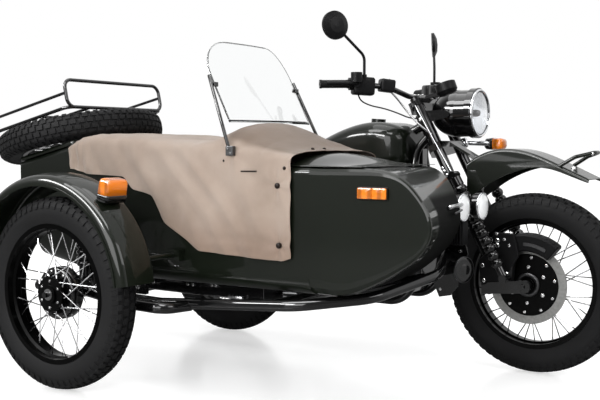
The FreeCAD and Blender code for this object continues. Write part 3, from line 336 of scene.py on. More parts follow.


# %% [markdown]
# ## Glass and lamp plastic
#
# Clear sheet and the headlamp's glass let light through. Coloured lenses and
# pressed lamp glass are ribbed inside and scatter it; a faint glow of painted
# light stands for that, and each rib is painted with shade in its groove and
# a highlight on its top.

# %% Glass
def glassy(name, colour):
    """Clear glass or sheet, polished a little unevenly."""
    material, shader = finish_of(name, colour, 0.02, Transmission_Weight=1.0, IOR=1.49)
    join(spread(noise(shader.id_data, 30.0), 0.02, 0.06), shader.inputs["Roughness"])
    return material


def ribbed(name, colour, painted_glow, rough=0.16, direction="X", scale=9.0, dark=0.45, light=(0.7, 1.0), depth=0.5):
    """A glossy face glowing with painted light, with ribs: each goes from painted shade (dark) in its groove
    to a painted highlight (light, a (place, factor) pair).
    """
    # The emission is painted light: a glow that stands for light scattered in the lens.
    material, shader = finish_of(name, colour, rough, coat=1.0, Emission_Strength=painted_glow,
                                 Emission_Color=(*colour, 1.0))
    ribs = bands(shader.id_data, direction, scale)
    # Painted shade in each rib's groove, painted highlight on its top.
    shaded(shader, ribs, colour, (0.1, dark), light)
    bump(shader, ribs, depth, 0.001)
    return material


clear = glassy("clear_sheet", (0.96, 0.97, 0.97))
lamp_glass = glassy("lamp_glass", (0.97, 0.98, 1.0))
amber = ribbed("amber_lens", (0.95, 0.24, 0.01), 0.12)
red = ribbed("red_lens", (0.5, 0.012, 0.008), 0.05)
milky = ribbed("fluted_glass", (0.88, 0.89, 0.9), 0.3, 0.12, "Y", 45.0, 0.72, (0.6, 1.05), 0.4)


# %% [markdown]
# ## Who wears what
#
# A short table gives each solid its finish.

# %% Finishes for the solids
WEARS = {
    green: ["fuel_tank", "front_mudguard", "rear_mudguard", "sidecar_mudguard", "trunk_lid"],
    shaded_nose_paint: ["sidecar_body"],
    enamel: ["main_frame", "swingarm", "rear_shocks", "crash_bar", "centre_stand", "fork", "leading_link",
             "front_shocks", "handlebar", "sidecar_frame", "sidecar_shock", "rack", "windshield_stays",
             "engine", "aux_lamps"],
    gloss_black: ["headlamp"],
    alloy: ["cylinders"],
    dark_steel: ["front_caliper"],
    chrome: ["exhausts"],
    steel: ["front_wheel", "rear_wheel", "sidecar_wheel", "spare_wheel"],
    tyre_rubber: ["front_tyre", "rear_tyre", "sidecar_tyre", "spare_tyre"],
    rubber: ["grips"],
    plastic: ["intakes", "bar_controls", "mirrors", "instrument"],
    vinyl: ["seat"],
    clear: ["windshield"],
    lamp_glass: ["headlamp_lens"],
    amber: ["indicators", "sidecar_lamps"],
    red: ["tail_lamp"],
    canvas: ["cover"],
}
for material, names in WEARS.items():
    for name in names:
        NODES[name].data.materials.clear()
        NODES[name].data.materials.append(material)


# %% [markdown]
# ## Grids
#
# Nearly every new piece is a surface of two parameters: a whole array of
# points worked out at once, then turned into quads. One helper does the last
# step, and can close the grid on itself in either direction.

# %% From an array of points to a mesh
def shown(name, data, material, body):
    """An object from a mesh or a curve, with its finish, riding on a body."""
    data.materials.append(material)
    made = bpy.data.objects.new(name, data)
    bpy.context.scene.collection.objects.link(made)
    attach(made, body)
    return made


def piece(name, points, faces, material, body="chassis", smooth=True):
    """A mesh object from an array of points and a list of faces."""
    mesh = bpy.data.meshes.new(name)
    mesh.from_pydata(points.tolist(), [], faces)
    mesh.update()
    if smooth:
        mesh.shade_smooth()
    return shown(name, mesh, material, body)


def grid_faces(rows, columns, closed):
    """The quads between the points of a grid, closed along rows or columns if asked."""
    number = np.arange(rows * columns).reshape(rows, columns)
    if closed[0]:
        number = np.vstack([number, number[:1]])
    if closed[1]:
        number = np.hstack([number, number[:, :1]])
    corners = [number[:-1, :-1], number[1:, :-1], number[1:, 1:], number[:-1, 1:]]
    return np.stack(corners, axis=-1).reshape(-1, 4).tolist()


def surface(name, points, material, body="chassis", closed=(False, False), smooth=True):
    """A quad mesh from an array of points of shape (rows, columns, 3)."""
    faces = grid_faces(*points.shape[:2], closed)
    return piece(name, points.reshape(-1, 3), faces, material, body, smooth)


def recalculated(made):
    """Points in one place are merged, and the faces of a closed form turned outwards."""
    form = bmesh.new()
    form.from_mesh(made.data)
    bmesh.ops.remove_doubles(form, verts=form.verts, dist=1e-6)
    bmesh.ops.recalc_face_normals(form, faces=form.faces)
    form.to_mesh(made.data)
    form.free()
    return made


def walled(made, thickness, offset=0.0):
    """Gives a sheet its thickness."""
    wall = made.modifiers.new("thickness", "SOLIDIFY")
    wall.thickness = thickness
    wall.offset = offset


# %% [markdown]
# ## Tyres
#
# These are block-pattern tyres: a round carcass with a ring groove under the
# tread, and rows of rubber blocks on the crown and shoulders. The carcass is
# a profile turned about the axle; each block is one small tapered form,
# copied round the wheel by whole-array arithmetic.

# %% Tyre shapes
CARCASS = [  # radius, across: from the bead to the middle
    (0.2375, -0.036), (0.249, -0.0405), (0.262, -0.046), (0.285, -0.0515), (0.305, -0.0505),
    (0.322, -0.0455), (0.3305, -0.036), (0.3345, -0.018), (0.3355, 0.0)]
CROWN = [  # across, radius
    (-0.0505, 0.312), (-0.0465, 0.3245), (-0.036, 0.3355), (-0.018, 0.3405), (0.0, 0.3420),
    (0.018, 0.3405), (0.036, 0.3355), (0.0465, 0.3245), (0.0505, 0.312)]
BLOCK_ROWS = [  # middle across, half width, half length round, phase
    (-0.0475, 0.0055, 0.0085, 0.0), (-0.0345, 0.0075, 0.0105, 0.5), (-0.0125, 0.0085, 0.0120, 0.0),
    (0.0125, 0.0085, 0.0120, 0.5), (0.0345, 0.0075, 0.0105, 0.0), (0.0475, 0.0055, 0.0085, 0.5)]
BLOCKS_ROUND = 64
CROWN_R = 0.342
BLOCK_DEPTH, BLOCK_TAPER = 0.0085, 0.0012
BLOCK_QUADS = np.array([  # two on top, the rest its four sides; points 0 to 5 are the top, 6 to 11 the foot
    (0, 2, 3, 1), (2, 4, 5, 3), (0, 1, 7, 6), (4, 10, 11, 5), (0, 6, 8, 2), (2, 8, 10, 4), (1, 3, 9, 7),
    (3, 5, 11, 9)])


def revolve(profile, steps):
    """Turns (radius, across) pairs about the Y axis: x = r cos t, z = -r sin t."""
    t = np.linspace(0, 2 * np.pi, steps, endpoint=False)[:, None]
    r, y = profile[:, 0][None], profile[:, 1][None]
    return np.stack([r * np.cos(t), np.broadcast_to(y, (steps, len(profile))), -r * np.sin(t)], axis=-1)


def smooth_profile(marks, count):
    """A curve through marks, by straight-line length, resampled and softened with a short moving mean."""
    marks = np.asarray(marks, float)
    lengths = np.concatenate([[0], np.cumsum(np.hypot(*np.diff(marks, axis=0).T))])
    where = np.linspace(0, lengths[-1], count)
    line = np.stack([np.interp(where, lengths, marks[:, k]) for k in range(2)], axis=-1)
    for _ in range(3):
        line[1:-1] = (line[:-2] + 2 * line[1:-1] + line[2:]) / 4
    return line


def tread_blocks():
    """Tapered blocks: the top of each follows the crown, its foot is wider and sits in the carcass."""
    across, radius = np.array(CROWN).T
    u, v = np.meshgrid([-1.0, 0.0, 1.0], [-1.0, 1.0], indexing="ij")
    u, v = u.ravel(), v.ravel()
    points = []
    for middle, half, length, phase in BLOCK_ROWS:
        turns = (np.arange(BLOCKS_ROUND) + phase) * 2 * np.pi / BLOCKS_ROUND
        y = np.concatenate([middle + u * half, middle + u * (half + BLOCK_TAPER)])
        r = np.interp(y, across, radius) - np.repeat([0, BLOCK_DEPTH], len(u))
        a = np.concatenate([v * length, v * (length + BLOCK_TAPER)]) / CROWN_R
        angle = turns[:, None] + a[None]
        ring = [r * np.cos(angle), np.broadcast_to(y, angle.shape), -r * np.sin(angle)]
        points.append(np.stack(ring, axis=-1).reshape(-1, 3))
    first = np.arange(len(BLOCK_ROWS) * BLOCKS_ROUND) * 2 * len(u)
    return np.concatenate(points), (BLOCK_QUADS[None] + first[:, None, None]).reshape(-1, 4)


def tyre(name, centre, body, turn=np.eye(3)):
    """Carcass and blocks of one tyre, in place of its plain solid: drawn axle along Y, turned, then moved."""
    half = smooth_profile(CARCASS, 22)
    shell = revolve(np.vstack([half, half[-2::-1] * [1, -1]]), 180)
    quads = grid_faces(*shell.shape[:2], (True, True))
    shell = shell.reshape(-1, 3)
    blocks, sides = tread_blocks()
    points = np.vstack([shell, blocks]) @ turn.T + centre
    faces = quads + (sides + len(shell)).tolist()
    made = piece(name + "_tread", points, faces, tyre_rubber, body, smooth=False)
    rounded = np.zeros(len(made.data.polygons), bool)
    rounded[:len(quads)] = True
    made.data.polygons.foreach_set("use_smooth", rounded)
    recalculated(made)
    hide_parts(name)


for end, centre in (("front", FRONT_AXLE), ("rear", BACK_AXLE), ("sidecar", SIDE_AXLE)):
    tyre(end + "_tyre", centre, end + "_roller")

LID_TILT = math.radians(12.5)
SPARE = np.mean(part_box("spare_tyre"), axis=0)
tip = np.array([[math.cos(LID_TILT), 0, -math.sin(LID_TILT)], [0, 1, 0],
                [math.sin(LID_TILT), 0, math.cos(LID_TILT)]])
lie_flat = np.array([[1, 0, 0], [0, 0, -1], [0, 1, 0]], float)
tyre("spare_tyre", SPARE, "lid", tip @ lie_flat)


# %% [markdown]
# ## Wheels
#
# Rim, spokes, hub and disc of a wheel are one solid, but on the real wheel
# the rim is black, the spokes bright and the hub black. The distance from
# the axle tells which is which, so one ramp over that distance paints all
# three. A Mapping node moves the pattern's middle to each axle.

# %% Finish of a spoked wheel
RIM_REACH = 0.26
BLACK, SPOKE, DISC, HUB = (0.008, 0.008, 0.008), (0.8, 0.8, 0.81), (0.33, 0.33, 0.32), (0.3, 0.3, 0.3)
INNER_RINGS = [(0.0, HUB, 0.35), (0.02, BLACK, 0.4)]
RIM_RING = (0.214, BLACK, 0.3)
PLAIN_RINGS = [*INNER_RINGS, (0.064, SPOKE, 0.22), RIM_RING]
DISC_RINGS = [*INNER_RINGS, (0.116, DISC, 0.42), (0.149, SPOKE, 0.22), RIM_RING]


def wheel_finish(name, centre, turn, rings):
    """Steel that changes with the distance from the axle: rings are (radius, colour, roughness)."""
    material, shader = finish_of(name, (0.5, 0.5, 0.5), 0.3, metal=1.0)
    tree = material.node_tree
    moved = laid_out(add(tree, "ShaderNodeMapping", vector_type="TEXTURE"))
    moved.inputs["Location"].default_value = tuple(centre)
    moved.inputs["Rotation"].default_value = (0.0, turn, 0.0)
    across = add(tree, "ShaderNodeVectorMath", operation="MULTIPLY")
    across.inputs[1].default_value = (1, 1, 0) if turn else (1, 0, 1)
    join(moved.outputs["Vector"], across.inputs[0])
    length = add(tree, "ShaderNodeVectorMath", operation="LENGTH")
    join(across.outputs["Vector"], length.inputs[0])
    scaled = spread(length.outputs["Value"], 0.0, 1.0, 0.0, RIM_REACH)
    tone = ramp(scaled, [(r / RIM_REACH, colour) for r, colour, _ in rings], "CONSTANT")
    gloss = ramp(scaled, [(r / RIM_REACH, (rough,) * 3) for r, _, rough in rings], "CONSTANT")
    grain = noise(tree, 90.0, 5.0)
    dirt = ramp(grain, [(0.3, (0.6, 0.6, 0.6)), (0.6, (1, 1, 1))])
    join(stained(tone, dirt, 0.5), shader.inputs["Base Color"])
    join(gloss, shader.inputs["Roughness"])
    bump(shader, grain, 0.08, 0.0004)
    return material


for name, centre, turn, rings in (
        ("front_wheel", FRONT_AXLE, 0.0, DISC_RINGS), ("rear_wheel", BACK_AXLE, 0.0, PLAIN_RINGS),
        ("sidecar_wheel", SIDE_AXLE, 0.0, PLAIN_RINGS), ("spare_wheel", SPARE, -LID_TILT, PLAIN_RINGS)):
    NODES[name].data.materials[0] = wheel_finish(name + "_steel", centre, turn, rings)


# %% [markdown]
# ## Canvas cover
#
# The cockpit cover is one piece of coated canvas: it arches over the hull,
# rises to the windshield's foot, and hangs down both sides as flaps that are
# snapped to the hull. Real canvas under light pull has long shallow folds
# from the snaps and gathers behind. The shape is given by two lines over the
# length, the hem's height and the crest's height, with an arch between them,
# and the folds are added as small waves that fade in where the cloth is held.

# %% The cover's cut
COVER_X = (-0.034, 0.986)
HEM_LINE = [  # forward, up
    (-0.034, 0.776), (0.052, 0.756), (0.245, 0.750), (0.285, 0.704), (0.384, 0.684), (0.438, 0.592),
    (0.598, 0.497), (0.80, 0.488), (0.955, 0.484), (0.986, 0.496)]
CREST_LINE = [
    (-0.034, 0.882), (0.02, 0.900), (0.06, 0.906), (0.25, 0.904), (0.43, 0.882), (0.56, 0.874),
    (0.65, 0.886), (0.69, 0.934), (0.705, 0.944), (0.76, 0.932), (0.865, 0.886), (0.93, 0.856),
    (0.965, 0.845), (0.986, 0.842)]
SIDE_NEAR, SIDE_FAR = -0.939, -0.376
SHOULDER = 0.800


def line_of(marks, x, soften):
    """Heights along a line of marks, softened by a moving mean so that no corner is sharp."""
    marks = np.asarray(marks)
    fine = np.linspace(marks[0, 0], marks[-1, 0], 2001)
    height = np.interp(fine, marks[:, 0], marks[:, 1])
    width = max(1, int(soften / (fine[1] - fine[0])))
    padded = np.pad(height, width, mode="edge")
    smooth = np.convolve(padded, np.ones(2 * width + 1) / (2 * width + 1), mode="valid")
    return np.interp(x, fine, smooth)


def soft_step(value, edge, width):
    """0 below the edge and 1 above it, with a smooth change of the given width."""
    return 1 / (1 + np.exp(-(value - edge) / width))


def bell(value, middle, reach):
    """1 at the middle, fading to nothing a few reaches away."""
    return np.exp(-((value - middle) / reach) ** 2)


def even_arch(p, count):
    """Even steps round |t|^p + lift^p = 1 from t = -1 to 1: lift leads on both sides, t over the top."""
    side = count // 3
    corner = 2 ** (-1 / p)
    rise = corner * np.linspace(0, 1, side, endpoint=False)
    out = (1 - rise ** p) ** (1 / p)
    top = corner * np.linspace(-1, 1, count - 2 * side)
    over = (1 - np.abs(top) ** p) ** (1 / p)
    return np.hstack([-out, top, out[:, ::-1]]), np.hstack([rise, over, rise[:, ::-1]])


def cover_points(rows=300, columns=240):
    """Rows run forward, columns from the near hem over the crest to the far hem.

    Flap: straight up from hem to shoulder. Arch: height = shoulder + rise (1 - |t|^p)^(1/p), t from -1 to 1,
    boxy behind the windshield (p = 7), round in front of it (2.4) and a little boxier at its end (3.6).
    The rear corners are pulled back.
    """
    x = np.linspace(*COVER_X, rows)
    hem, crest = line_of(HEM_LINE, x, 0.012), line_of(CREST_LINE, x, 0.018)
    shoulder = np.maximum(SHOULDER, np.minimum(hem, crest - 0.02))
    low = np.minimum(hem, shoulder - 0.002)
    flap = int(columns * 0.3)
    up = np.linspace(0, 1, flap, endpoint=False)[None]
    near = low[:, None] + (shoulder - low)[:, None] * up
    p = (7.0 - 4.6 * soft_step(x, 0.655, 0.012) + 1.2 * np.clip((x - 0.86) / 0.1, 0, 1))[:, None]
    t, lift = even_arch(p, columns - 2 * flap)
    middle, half = (SIDE_NEAR + SIDE_FAR) / 2, (SIDE_FAR - SIDE_NEAR) / 2
    y = np.hstack([np.full(near.shape, SIDE_NEAR), middle + half * t, np.full(near.shape, SIDE_FAR)])
    z = np.hstack([near, shoulder[:, None] + (crest - shoulder)[:, None] * lift, near[:, ::-1]])
    grid = np.stack([np.broadcast_to(x[:, None], y.shape), y, z], axis=-1).copy()
    rear = np.clip((0.10 - x) / 0.134, 0, 1)[:, None] ** 2
    sides = soft_step(np.abs(y - middle), half - 0.004, 0.0012)
    grid[..., 0] -= 0.027 * rear * sides * np.clip((z - 0.776) / 0.09, 0, 1)
    return grid


# %% Folds in the cloth
LONG_PULLS = [  # slope, waves, offset, middle, reach, height
    (0.62, 62, 0.4, 0.10, 0.13, 0.0046), (0.55, 48, 1.7, 0.33, 0.16, 0.0050),
    (0.85, 55, 2.6, 0.62, 0.12, 0.0040), (0.40, 40, 0.9, 0.80, 0.15, 0.0036)]
SNAP_PULLS = [  # forward, up, reach
    (0.937, 0.732, 0.11), (0.942, 0.536, 0.09), (0.75, 0.84, 0.10)]
CLEARANCE = 0.0024


def folds(grid):
    """Shallow waves across the cloth: gathers behind, long pulls, stars round the snaps, a soft unevenness.

    Each wave is a sine of one direction in the cloth, times a bell that says where it lives.
    """
    x, y, z = grid[..., 0], grid[..., 1], grid[..., 2]
    normal = np.cross(np.gradient(grid, axis=0), np.gradient(grid, axis=1))
    normal /= np.maximum(np.linalg.norm(normal, axis=-1, keepdims=True), 1e-9)
    outward = np.stack([0 * x, np.sign(y + 0.66), 0.35 + 0 * x], axis=-1)
    normal *= np.where((normal * outward).sum(-1, keepdims=True) < 0, -1, 1)
    flap = 1 - soft_step(z, 0.86, 0.02)
    behind = bell(x, -0.034, 0.10)
    height = behind * flap * 0.0042 * np.sin(x * 150 - z * 22 + 1.2 * np.sin(z * 30))
    height += behind * (1 - flap) * 0.0042 * np.sin(y * 95 + 3 * np.sin(y * 21))
    for slope, waves, offset, middle, reach, size in LONG_PULLS:
        along = x + slope * (z - 0.7)
        wave = np.sin(waves * along + offset + 0.8 * np.sin(z * 17))
        height += flap * size * wave * bell(along, middle, reach)
    height += (1 - flap) * 0.0030 * np.sin(x * 13 + y * 7 + 2.0) * np.sin(y * 11 - x * 5)
    for snap_x, snap_z, reach in SNAP_PULLS:
        away = np.hypot(x - snap_x, z - snap_z)
        turn = np.arctan2(z - snap_z, x - snap_x)
        height += flap * 0.0036 * bell(away, 0, reach) * np.cos(5 * turn) * soft_step(away, 0.02, 0.006)
    height += flap * 0.0045 * bell(x, 0.76, 0.11) * bell(z, 0.535, 0.03) * np.sin((z - 0.50) * 95)
    height += 0.0007 * np.sin(x * 61 + y * 37) * np.sin(z * 43 + y * 29)
    return grid + normal * (height + CLEARANCE)[..., None]


# %% The cover
cloth = folds(cover_points())
cover = surface("cover_cloth", cloth + REAR_GROUND, canvas)
steps_u, steps_v = np.diff(cloth, axis=0), np.diff(cloth, axis=1)
width = np.linalg.norm(steps_v, axis=-1).sum(axis=1).max()
length = np.linalg.norm(steps_u, axis=-1).sum(axis=0).max()
walled(cover, 0.0018)
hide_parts("cover")


# %% [markdown]
# ## Turned parts
#
# Rings, bowls, discs and bolt heads are all a profile turned about an axis.
# One helper turns a list of (radius, height) pairs about any axis from any
# point: each point is base + across cos t + up sin t, times the radius, plus
# the axis times the height.

# %% Forms about an axis
def axes_of(axis):
    """A unit axis and two directions square to it."""
    axis = np.asarray(axis, float) / np.linalg.norm(axis)
    other = np.array([0.0, 0.0, 1.0]) if abs(axis[2]) < 0.9 else np.array([1.0, 0.0, 0.0])
    across = np.cross(axis, other)
    across /= np.linalg.norm(across)
    return axis, across, np.cross(axis, across)


def turned(name, profile, base, axis, material, body="chassis", steps=48, smooth=True):
    """A profile of (radius, height) pairs turned about an axis; the ends are closed where the radius is 0."""
    profile = np.asarray(profile, float)
    axis, across, up = axes_of(axis)
    t = np.linspace(0, 2 * np.pi, steps, endpoint=False)
    ring = np.cos(t)[:, None] * across + np.sin(t)[:, None] * up
    points = base + profile[None, :, :1] * ring[:, None] + profile[None, :, 1:] * axis
    return recalculated(surface(name, points, material, body, (True, False), smooth))


def pod(name, stations, base, axis, material, body="chassis", p=5.0, steps=40):
    """Sections |u/a|^p + |v/b|^p = 1 along an axis, closed at both ends: (distance, half across, half up)."""
    stations = np.asarray(stations, float)
    stations = np.vstack([stations[0] * [1, 0, 0], stations, stations[-1] * [1, 0, 0]])
    axis, across, up = axes_of(axis)
    t = np.linspace(0, 2 * np.pi, steps, endpoint=False)
    u = np.sign(np.cos(t)) * np.abs(np.cos(t)) ** (2 / p)
    v = np.sign(np.sin(t)) * np.abs(np.sin(t)) ** (2 / p)
    points = (base + stations[None, :, :1] * axis + u[:, None, None] * stations[None, :, 1:2] * across
              + v[:, None, None] * stations[None, :, 2:] * up)
    return recalculated(surface(name, points, material, body, (True, False)))


def bar(name, start, end, radius, material, body="chassis"):
    """A plain round bar between two points, its ends slightly rounded."""
    run = end - start
    length = np.linalg.norm(run)
    edge = min(0.15 * radius, 0.001)
    profile = [(0, 0), (radius - edge, 0), (radius, edge), (radius, length - edge), (radius - edge, length),
               (0, length)]
    return turned(name, profile, start, run, material, body, 20)


def bolt_heads(name, places, radius, height, body="chassis", axis=RIGHT, sides=6):
    """Domed heads in bright steel, one small form repeated at many places."""
    axis, across, up = axes_of(axis)
    t = np.linspace(0, 2 * np.pi, sides, endpoint=False)
    ring = np.cos(t)[:, None] * across + np.sin(t)[:, None] * up
    rings = [ring * radius, ring * radius + axis * height * 0.75, ring * radius * 0.72 + axis * height]
    head = np.vstack([*rings, axis * height * 1.05, axis * 0])
    top, foot = 3 * sides, 3 * sides + 1
    faces = []
    for k in range(sides):
        after = (k + 1) % sides
        for low in (0, sides):
            faces.append((low + k, low + after, low + after + sides, low + k + sides))
        faces.append((2 * sides + k, 2 * sides + after, top))
        faces.append((after, k, foot))
    points = (np.asarray(places)[:, None] + head).reshape(-1, 3)
    faces = [[corner + n * len(head) for corner in face] for n in range(len(places)) for face in faces]
    return recalculated(piece(name, points, faces, bolt_steel, body, smooth=False))


def circle_of(centre, radius, count, across, phase=0.0):
    """Points on an upright circle about an axle: x = r cos t, z = r sin t."""
    t = np.arange(count) * 2 * np.pi / count + phase
    return centre + np.stack([radius * np.cos(t), np.full(count, across), radius * np.sin(t)], axis=-1)


def tube_along(name, line, radius, material, body="chassis", steps=8):
    """A round tube along a line of points: across and up follow the line's direction."""
    along = np.gradient(line, axis=0)
    along /= np.linalg.norm(along, axis=1, keepdims=True)
    across = np.cross(along, [0.31, 0.17, 0.93])
    across /= np.linalg.norm(across, axis=1, keepdims=True)
    up = np.cross(along, across)
    t = np.linspace(0, 2 * np.pi, steps, endpoint=False)[None, :, None]
    ring = line[:, None] + radius * (np.cos(t) * across[:, None] + np.sin(t) * up[:, None])
    caps = [np.repeat(line[end][None, None], steps, axis=1) for end in (0, -1)]
    ring = np.concatenate([caps[0], ring, caps[1]])
    return recalculated(surface(name, ring + REAR_GROUND, material, body, (False, True)))


# %% [markdown]
# ## Plates and saddles
#
# Brackets are flat plates cut to an outline, with their edges broken. A brake
# caliper is a block bent round the disc: a section in (radius, across)
# carried along an arc about the axle.

# %% Plates, saddles and blocks
def plate(name, outline, low, high, material, body="chassis", edge=0.002):
    """An outline of (x, z) points, pushed from y = low to y = high; a bevel breaks its edges."""
    outline = np.asarray(outline, float)
    count = len(outline)
    points = np.concatenate([np.insert(outline, 1, y, axis=1) for y in (low, high)]) + REAR_GROUND
    ring = [(k, (k + 1) % count, (k + 1) % count + count, k + count) for k in range(count)]
    sides = [tuple(range(count)), tuple(range(2 * count - 1, count - 1, -1))]
    made = recalculated(piece(name, points, sides + ring, material, body, smooth=False))
    broken = made.modifiers.new("edge", "BEVEL")
    broken.width = edge
    broken.segments = 2
    return made


def block(name, one, other, material, body="chassis", edge=0.003):
    """A box between two corners with broken edges."""
    (x0, y0, z0), (x1, y1, z1) = np.minimum(one, other), np.maximum(one, other)
    return plate(name, [(x0, z0), (x1, z0), (x1, z1), (x0, z1)], y0, y1, material, body, edge)


def saddle(name, section, low, high, material, steps=28):
    """A closed section of (radius, across) pairs carried round the front axle between two angles."""
    section = np.asarray(section, float)
    middle = section.mean(axis=0)
    angle = np.radians(np.concatenate([[low, low], np.linspace(low + 1.5, high - 1.5, steps), [high, high]]))
    scale = np.concatenate([[0.0, 0.86], np.ones(steps), [0.86, 0.0]])
    ring = middle + (section - middle)[None] * scale[:, None, None]
    radius, across = ring[..., 0], ring[..., 1]
    points = np.stack([radius * np.cos(angle)[:, None], across, radius * np.sin(angle)[:, None]], axis=-1)
    return recalculated(surface(name, points + FRONT_AXLE, material, "steering", (False, True), smooth=False))


# %% [markdown]
# ## Lamps
#
# A headlamp is a silvered reflector behind a domed glass, held by a chrome
# ring. The glass is thin, so it is made with two faces. The two spot lamps
# have thick pressed glass that hides what is behind it.

# %% Headlamp and spot lamps
LAMP, LAMP_R, LAMP_DEPTH = at(1.238, 0, 0.99), 0.089, 0.014
r = np.linspace(0.02, 1, 14) * (LAMP_R - 0.004)
bowl = np.stack([r, -LAMP_DEPTH * (1 - (r / LAMP_R) ** 2) - 0.001], axis=-1)
turned("headlamp_face_reflector", bowl, LAMP, FORWARD, silver, "steering", 72)
arc = np.linspace(0.0, 1, 12)
dome = np.stack([arc * (LAMP_R - 0.002), 0.15 * LAMP_R * (1 - arc ** 2)], axis=-1)
both_faces = np.vstack([dome, dome[::-1] - [0, 0.002]])
glass = turned("headlamp_face_glass", both_faces, LAMP, FORWARD, lamp_glass, "steering", 72)
t = np.linspace(0, 2 * np.pi, 13)
ring = np.stack([LAMP_R + 0.0045 * np.cos(t), 0.006 * np.sin(t) + 0.001], axis=-1)
turned("headlamp_face_ring", ring, LAMP, FORWARD, chrome, "steering", 72)
bulb = [(0, 0.0), (0.12 * LAMP_R, -0.002), (0.16 * LAMP_R, -LAMP_DEPTH * 0.9), (0, -LAMP_DEPTH * 0.95)]
turned("headlamp_face_bulb", bulb, LAMP, FORWARD, dark_steel, "steering", 24)
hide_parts("headlamp_lens")

SPOT_LENS = [(0, 0.013), (0.020, 0.0115), (0.038, 0.006), (0.0465, 0.0), (0.0465, -0.003), (0, -0.003)]
SPOT_RING = [(0.0465, 0.0015), (0.0495, 0.002), (0.0505, -0.002), (0.0500, -0.006), (0.0465, -0.0045),
             (0.0465, 0.0015)]
for side, centre in (("outer", at(1.3345, -0.357, 0.642)), ("inner", at(1.3555, -0.238, 0.642))):
    turned(f"spot_lens_{side}", SPOT_LENS, centre, FORWARD, milky, steps=64)
    turned(f"spot_ring_{side}", SPOT_RING, centre, FORWARD, chrome, steps=64)


# %% [markdown]
# ## Turn signals and markers
#
# Each is a coloured lens on a dark housing. The lens is a soft-cornered
# block: sections between a circle and a square, carried along its depth. The
# front signal stands on the left of the fork on a bright stem, because on
# the right the sidecar carries the signals.

# %% Front turn signal
INDICATOR = at(1.196, 0.170, 0.870)
pod("indicator_housing", [(0, 0.020, 0.016), (0.008, 0.027, 0.0225), (0.036, 0.029, 0.0245)],
    INDICATOR, FORWARD, enamel, "steering", 4.0)
INDICATOR_LENS = [(0.0365, 0.0285, 0.024), (0.066, 0.0275, 0.023), (0.078, 0.023, 0.0185),
                  (0.084, 0.012, 0.010), (0.085, 0, 0)]
signal = pod("indicator_lens", INDICATOR_LENS, INDICATOR, FORWARD, amber, "steering", 4.0)
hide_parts("indicators")
bar("indicator_stem", at(1.125, 0.118, 0.876), at(1.214, 0.150, 0.872), 0.011, chrome, "steering")
bar("indicator_clamp", at(1.118, 0.116, 0.892), at(1.132, 0.116, 0.862), 0.014, chrome, "steering")

# %% Marker on the nose, lamp on the mudguard
MARKER = at(1.287, -0.9302, 0.7165)
pod("marker_base", [(0, 0.0535, 0.0200), (0.005, 0.0535, 0.0200), (0.0075, 0.052, 0.0185)],
    MARKER, RIGHT, snap_brown, p=12.0)
MARKER_LENS = [(0.0076, 0.0252, 0.0172), (0.0120, 0.0250, 0.0168), (0.0134, 0.023, 0.0148)]
for number, shift in enumerate((-0.0255, 0.0255)):
    lens_half = pod(f"marker_lens_{number}", MARKER_LENS, MARKER + [shift, 0, 0], RIGHT, amber, p=14.0)
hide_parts("sidecar_lamps")

GUARD_LAMP = at(0.418, -1.180, 0.680)
LAMP_LEAN = math.radians(11)
lean = (math.sin(LAMP_LEAN), 0, math.cos(LAMP_LEAN))
pod("guard_lamp_base", [(-0.004, 0.046, 0.026), (0.014, 0.049, 0.028), (0.020, 0.048, 0.027)],
    GUARD_LAMP, lean, enamel, p=8.0)
pod("guard_lamp_lens", [(0.0202, 0.048, 0.026), (0.060, 0.047, 0.025), (0.070, 0.044, 0.022),
                        (0.0745, 0.036, 0.015)], GUARD_LAMP, lean, amber, p=8.0)


# %% [markdown]
# ## Hubs and snaps
#
# Bright bolt heads catch the light on the dark hubs. Each group stands on a
# circle about the axle. Dark domed snap buttons hold the canvas, and a short
# dark strap lies on it.

# %% Bolts on the wheels
bolt_heads("disc_bolts", circle_of(FRONT_AXLE, 0.104, 10, -0.0745, 0.2), 0.0065, 0.0025, "front_roller")
bolt_heads("front_hub_bolts", circle_of(FRONT_AXLE, 0.068, 6, -0.0745, 0.5), 0.0075, 0.006, "front_roller")
bolt_heads("sidecar_hub_bolts", circle_of(SIDE_AXLE, 0.047, 6, -0.044, 0.5), 0.0055, 0.006, "sidecar_roller")
bolt_heads("rear_hub_bolts", circle_of(BACK_AXLE, 0.047, 6, 0.044, 0.5), 0.0055, 0.006, "rear_roller",
           axis=(0, 1, 0))

# %% Snaps and strap
SNAP = [(0, 0.0065), (0.006, 0.006), (0.0095, 0.003), (0.0100, -0.004), (0, -0.004)]
SMALL_SNAP = [(0, 0.004), (0.0035, 0.0036), (0.006, 0.001), (0.006, -0.005), (0, -0.005)]
for number, (x, z) in enumerate(((0.937, 0.732), (0.942, 0.536))):
    turned(f"snap_{number}", SNAP, at(x, SIDE_NEAR - 0.006, z), RIGHT, snap_brown, steps=20)
for number, (x, z) in enumerate(((0.715, 0.812), (0.964, 0.790))):
    turned(f"small_snap_{number}", SMALL_SNAP, at(x, SIDE_NEAR - 0.005, z), RIGHT, snap_brown, steps=16)
for number, y in enumerate((-0.765, -0.692)):
    turned(f"edge_snap_{number}", SMALL_SNAP, at(0.958, y, 0.8525), (0.2, 0, 1), snap_brown, steps=16)
plate("cover_strap", [(0.786, 0.7745), (0.851, 0.7755), (0.852, 0.7805), (0.786, 0.7795)],
      SIDE_NEAR - 0.0065, SIDE_NEAR - 0.003, snap_brown, edge=0.001)


# %% [markdown]
# ## Windshield
#
# The pane is one clear sheet, bowed forward in the middle and rounded at its
# upper corners, with a rounded edge. A rod at each side carries it.

# %% Pane
PANE_Y = (-0.885, -0.388)
PANE_FOOT, PANE_HIGH = (0.694, 0.9445), 0.291
PANE_LEAN, PANE_BOW, PANE_CORNER = math.tan(math.radians(27)), 0.034, 0.128


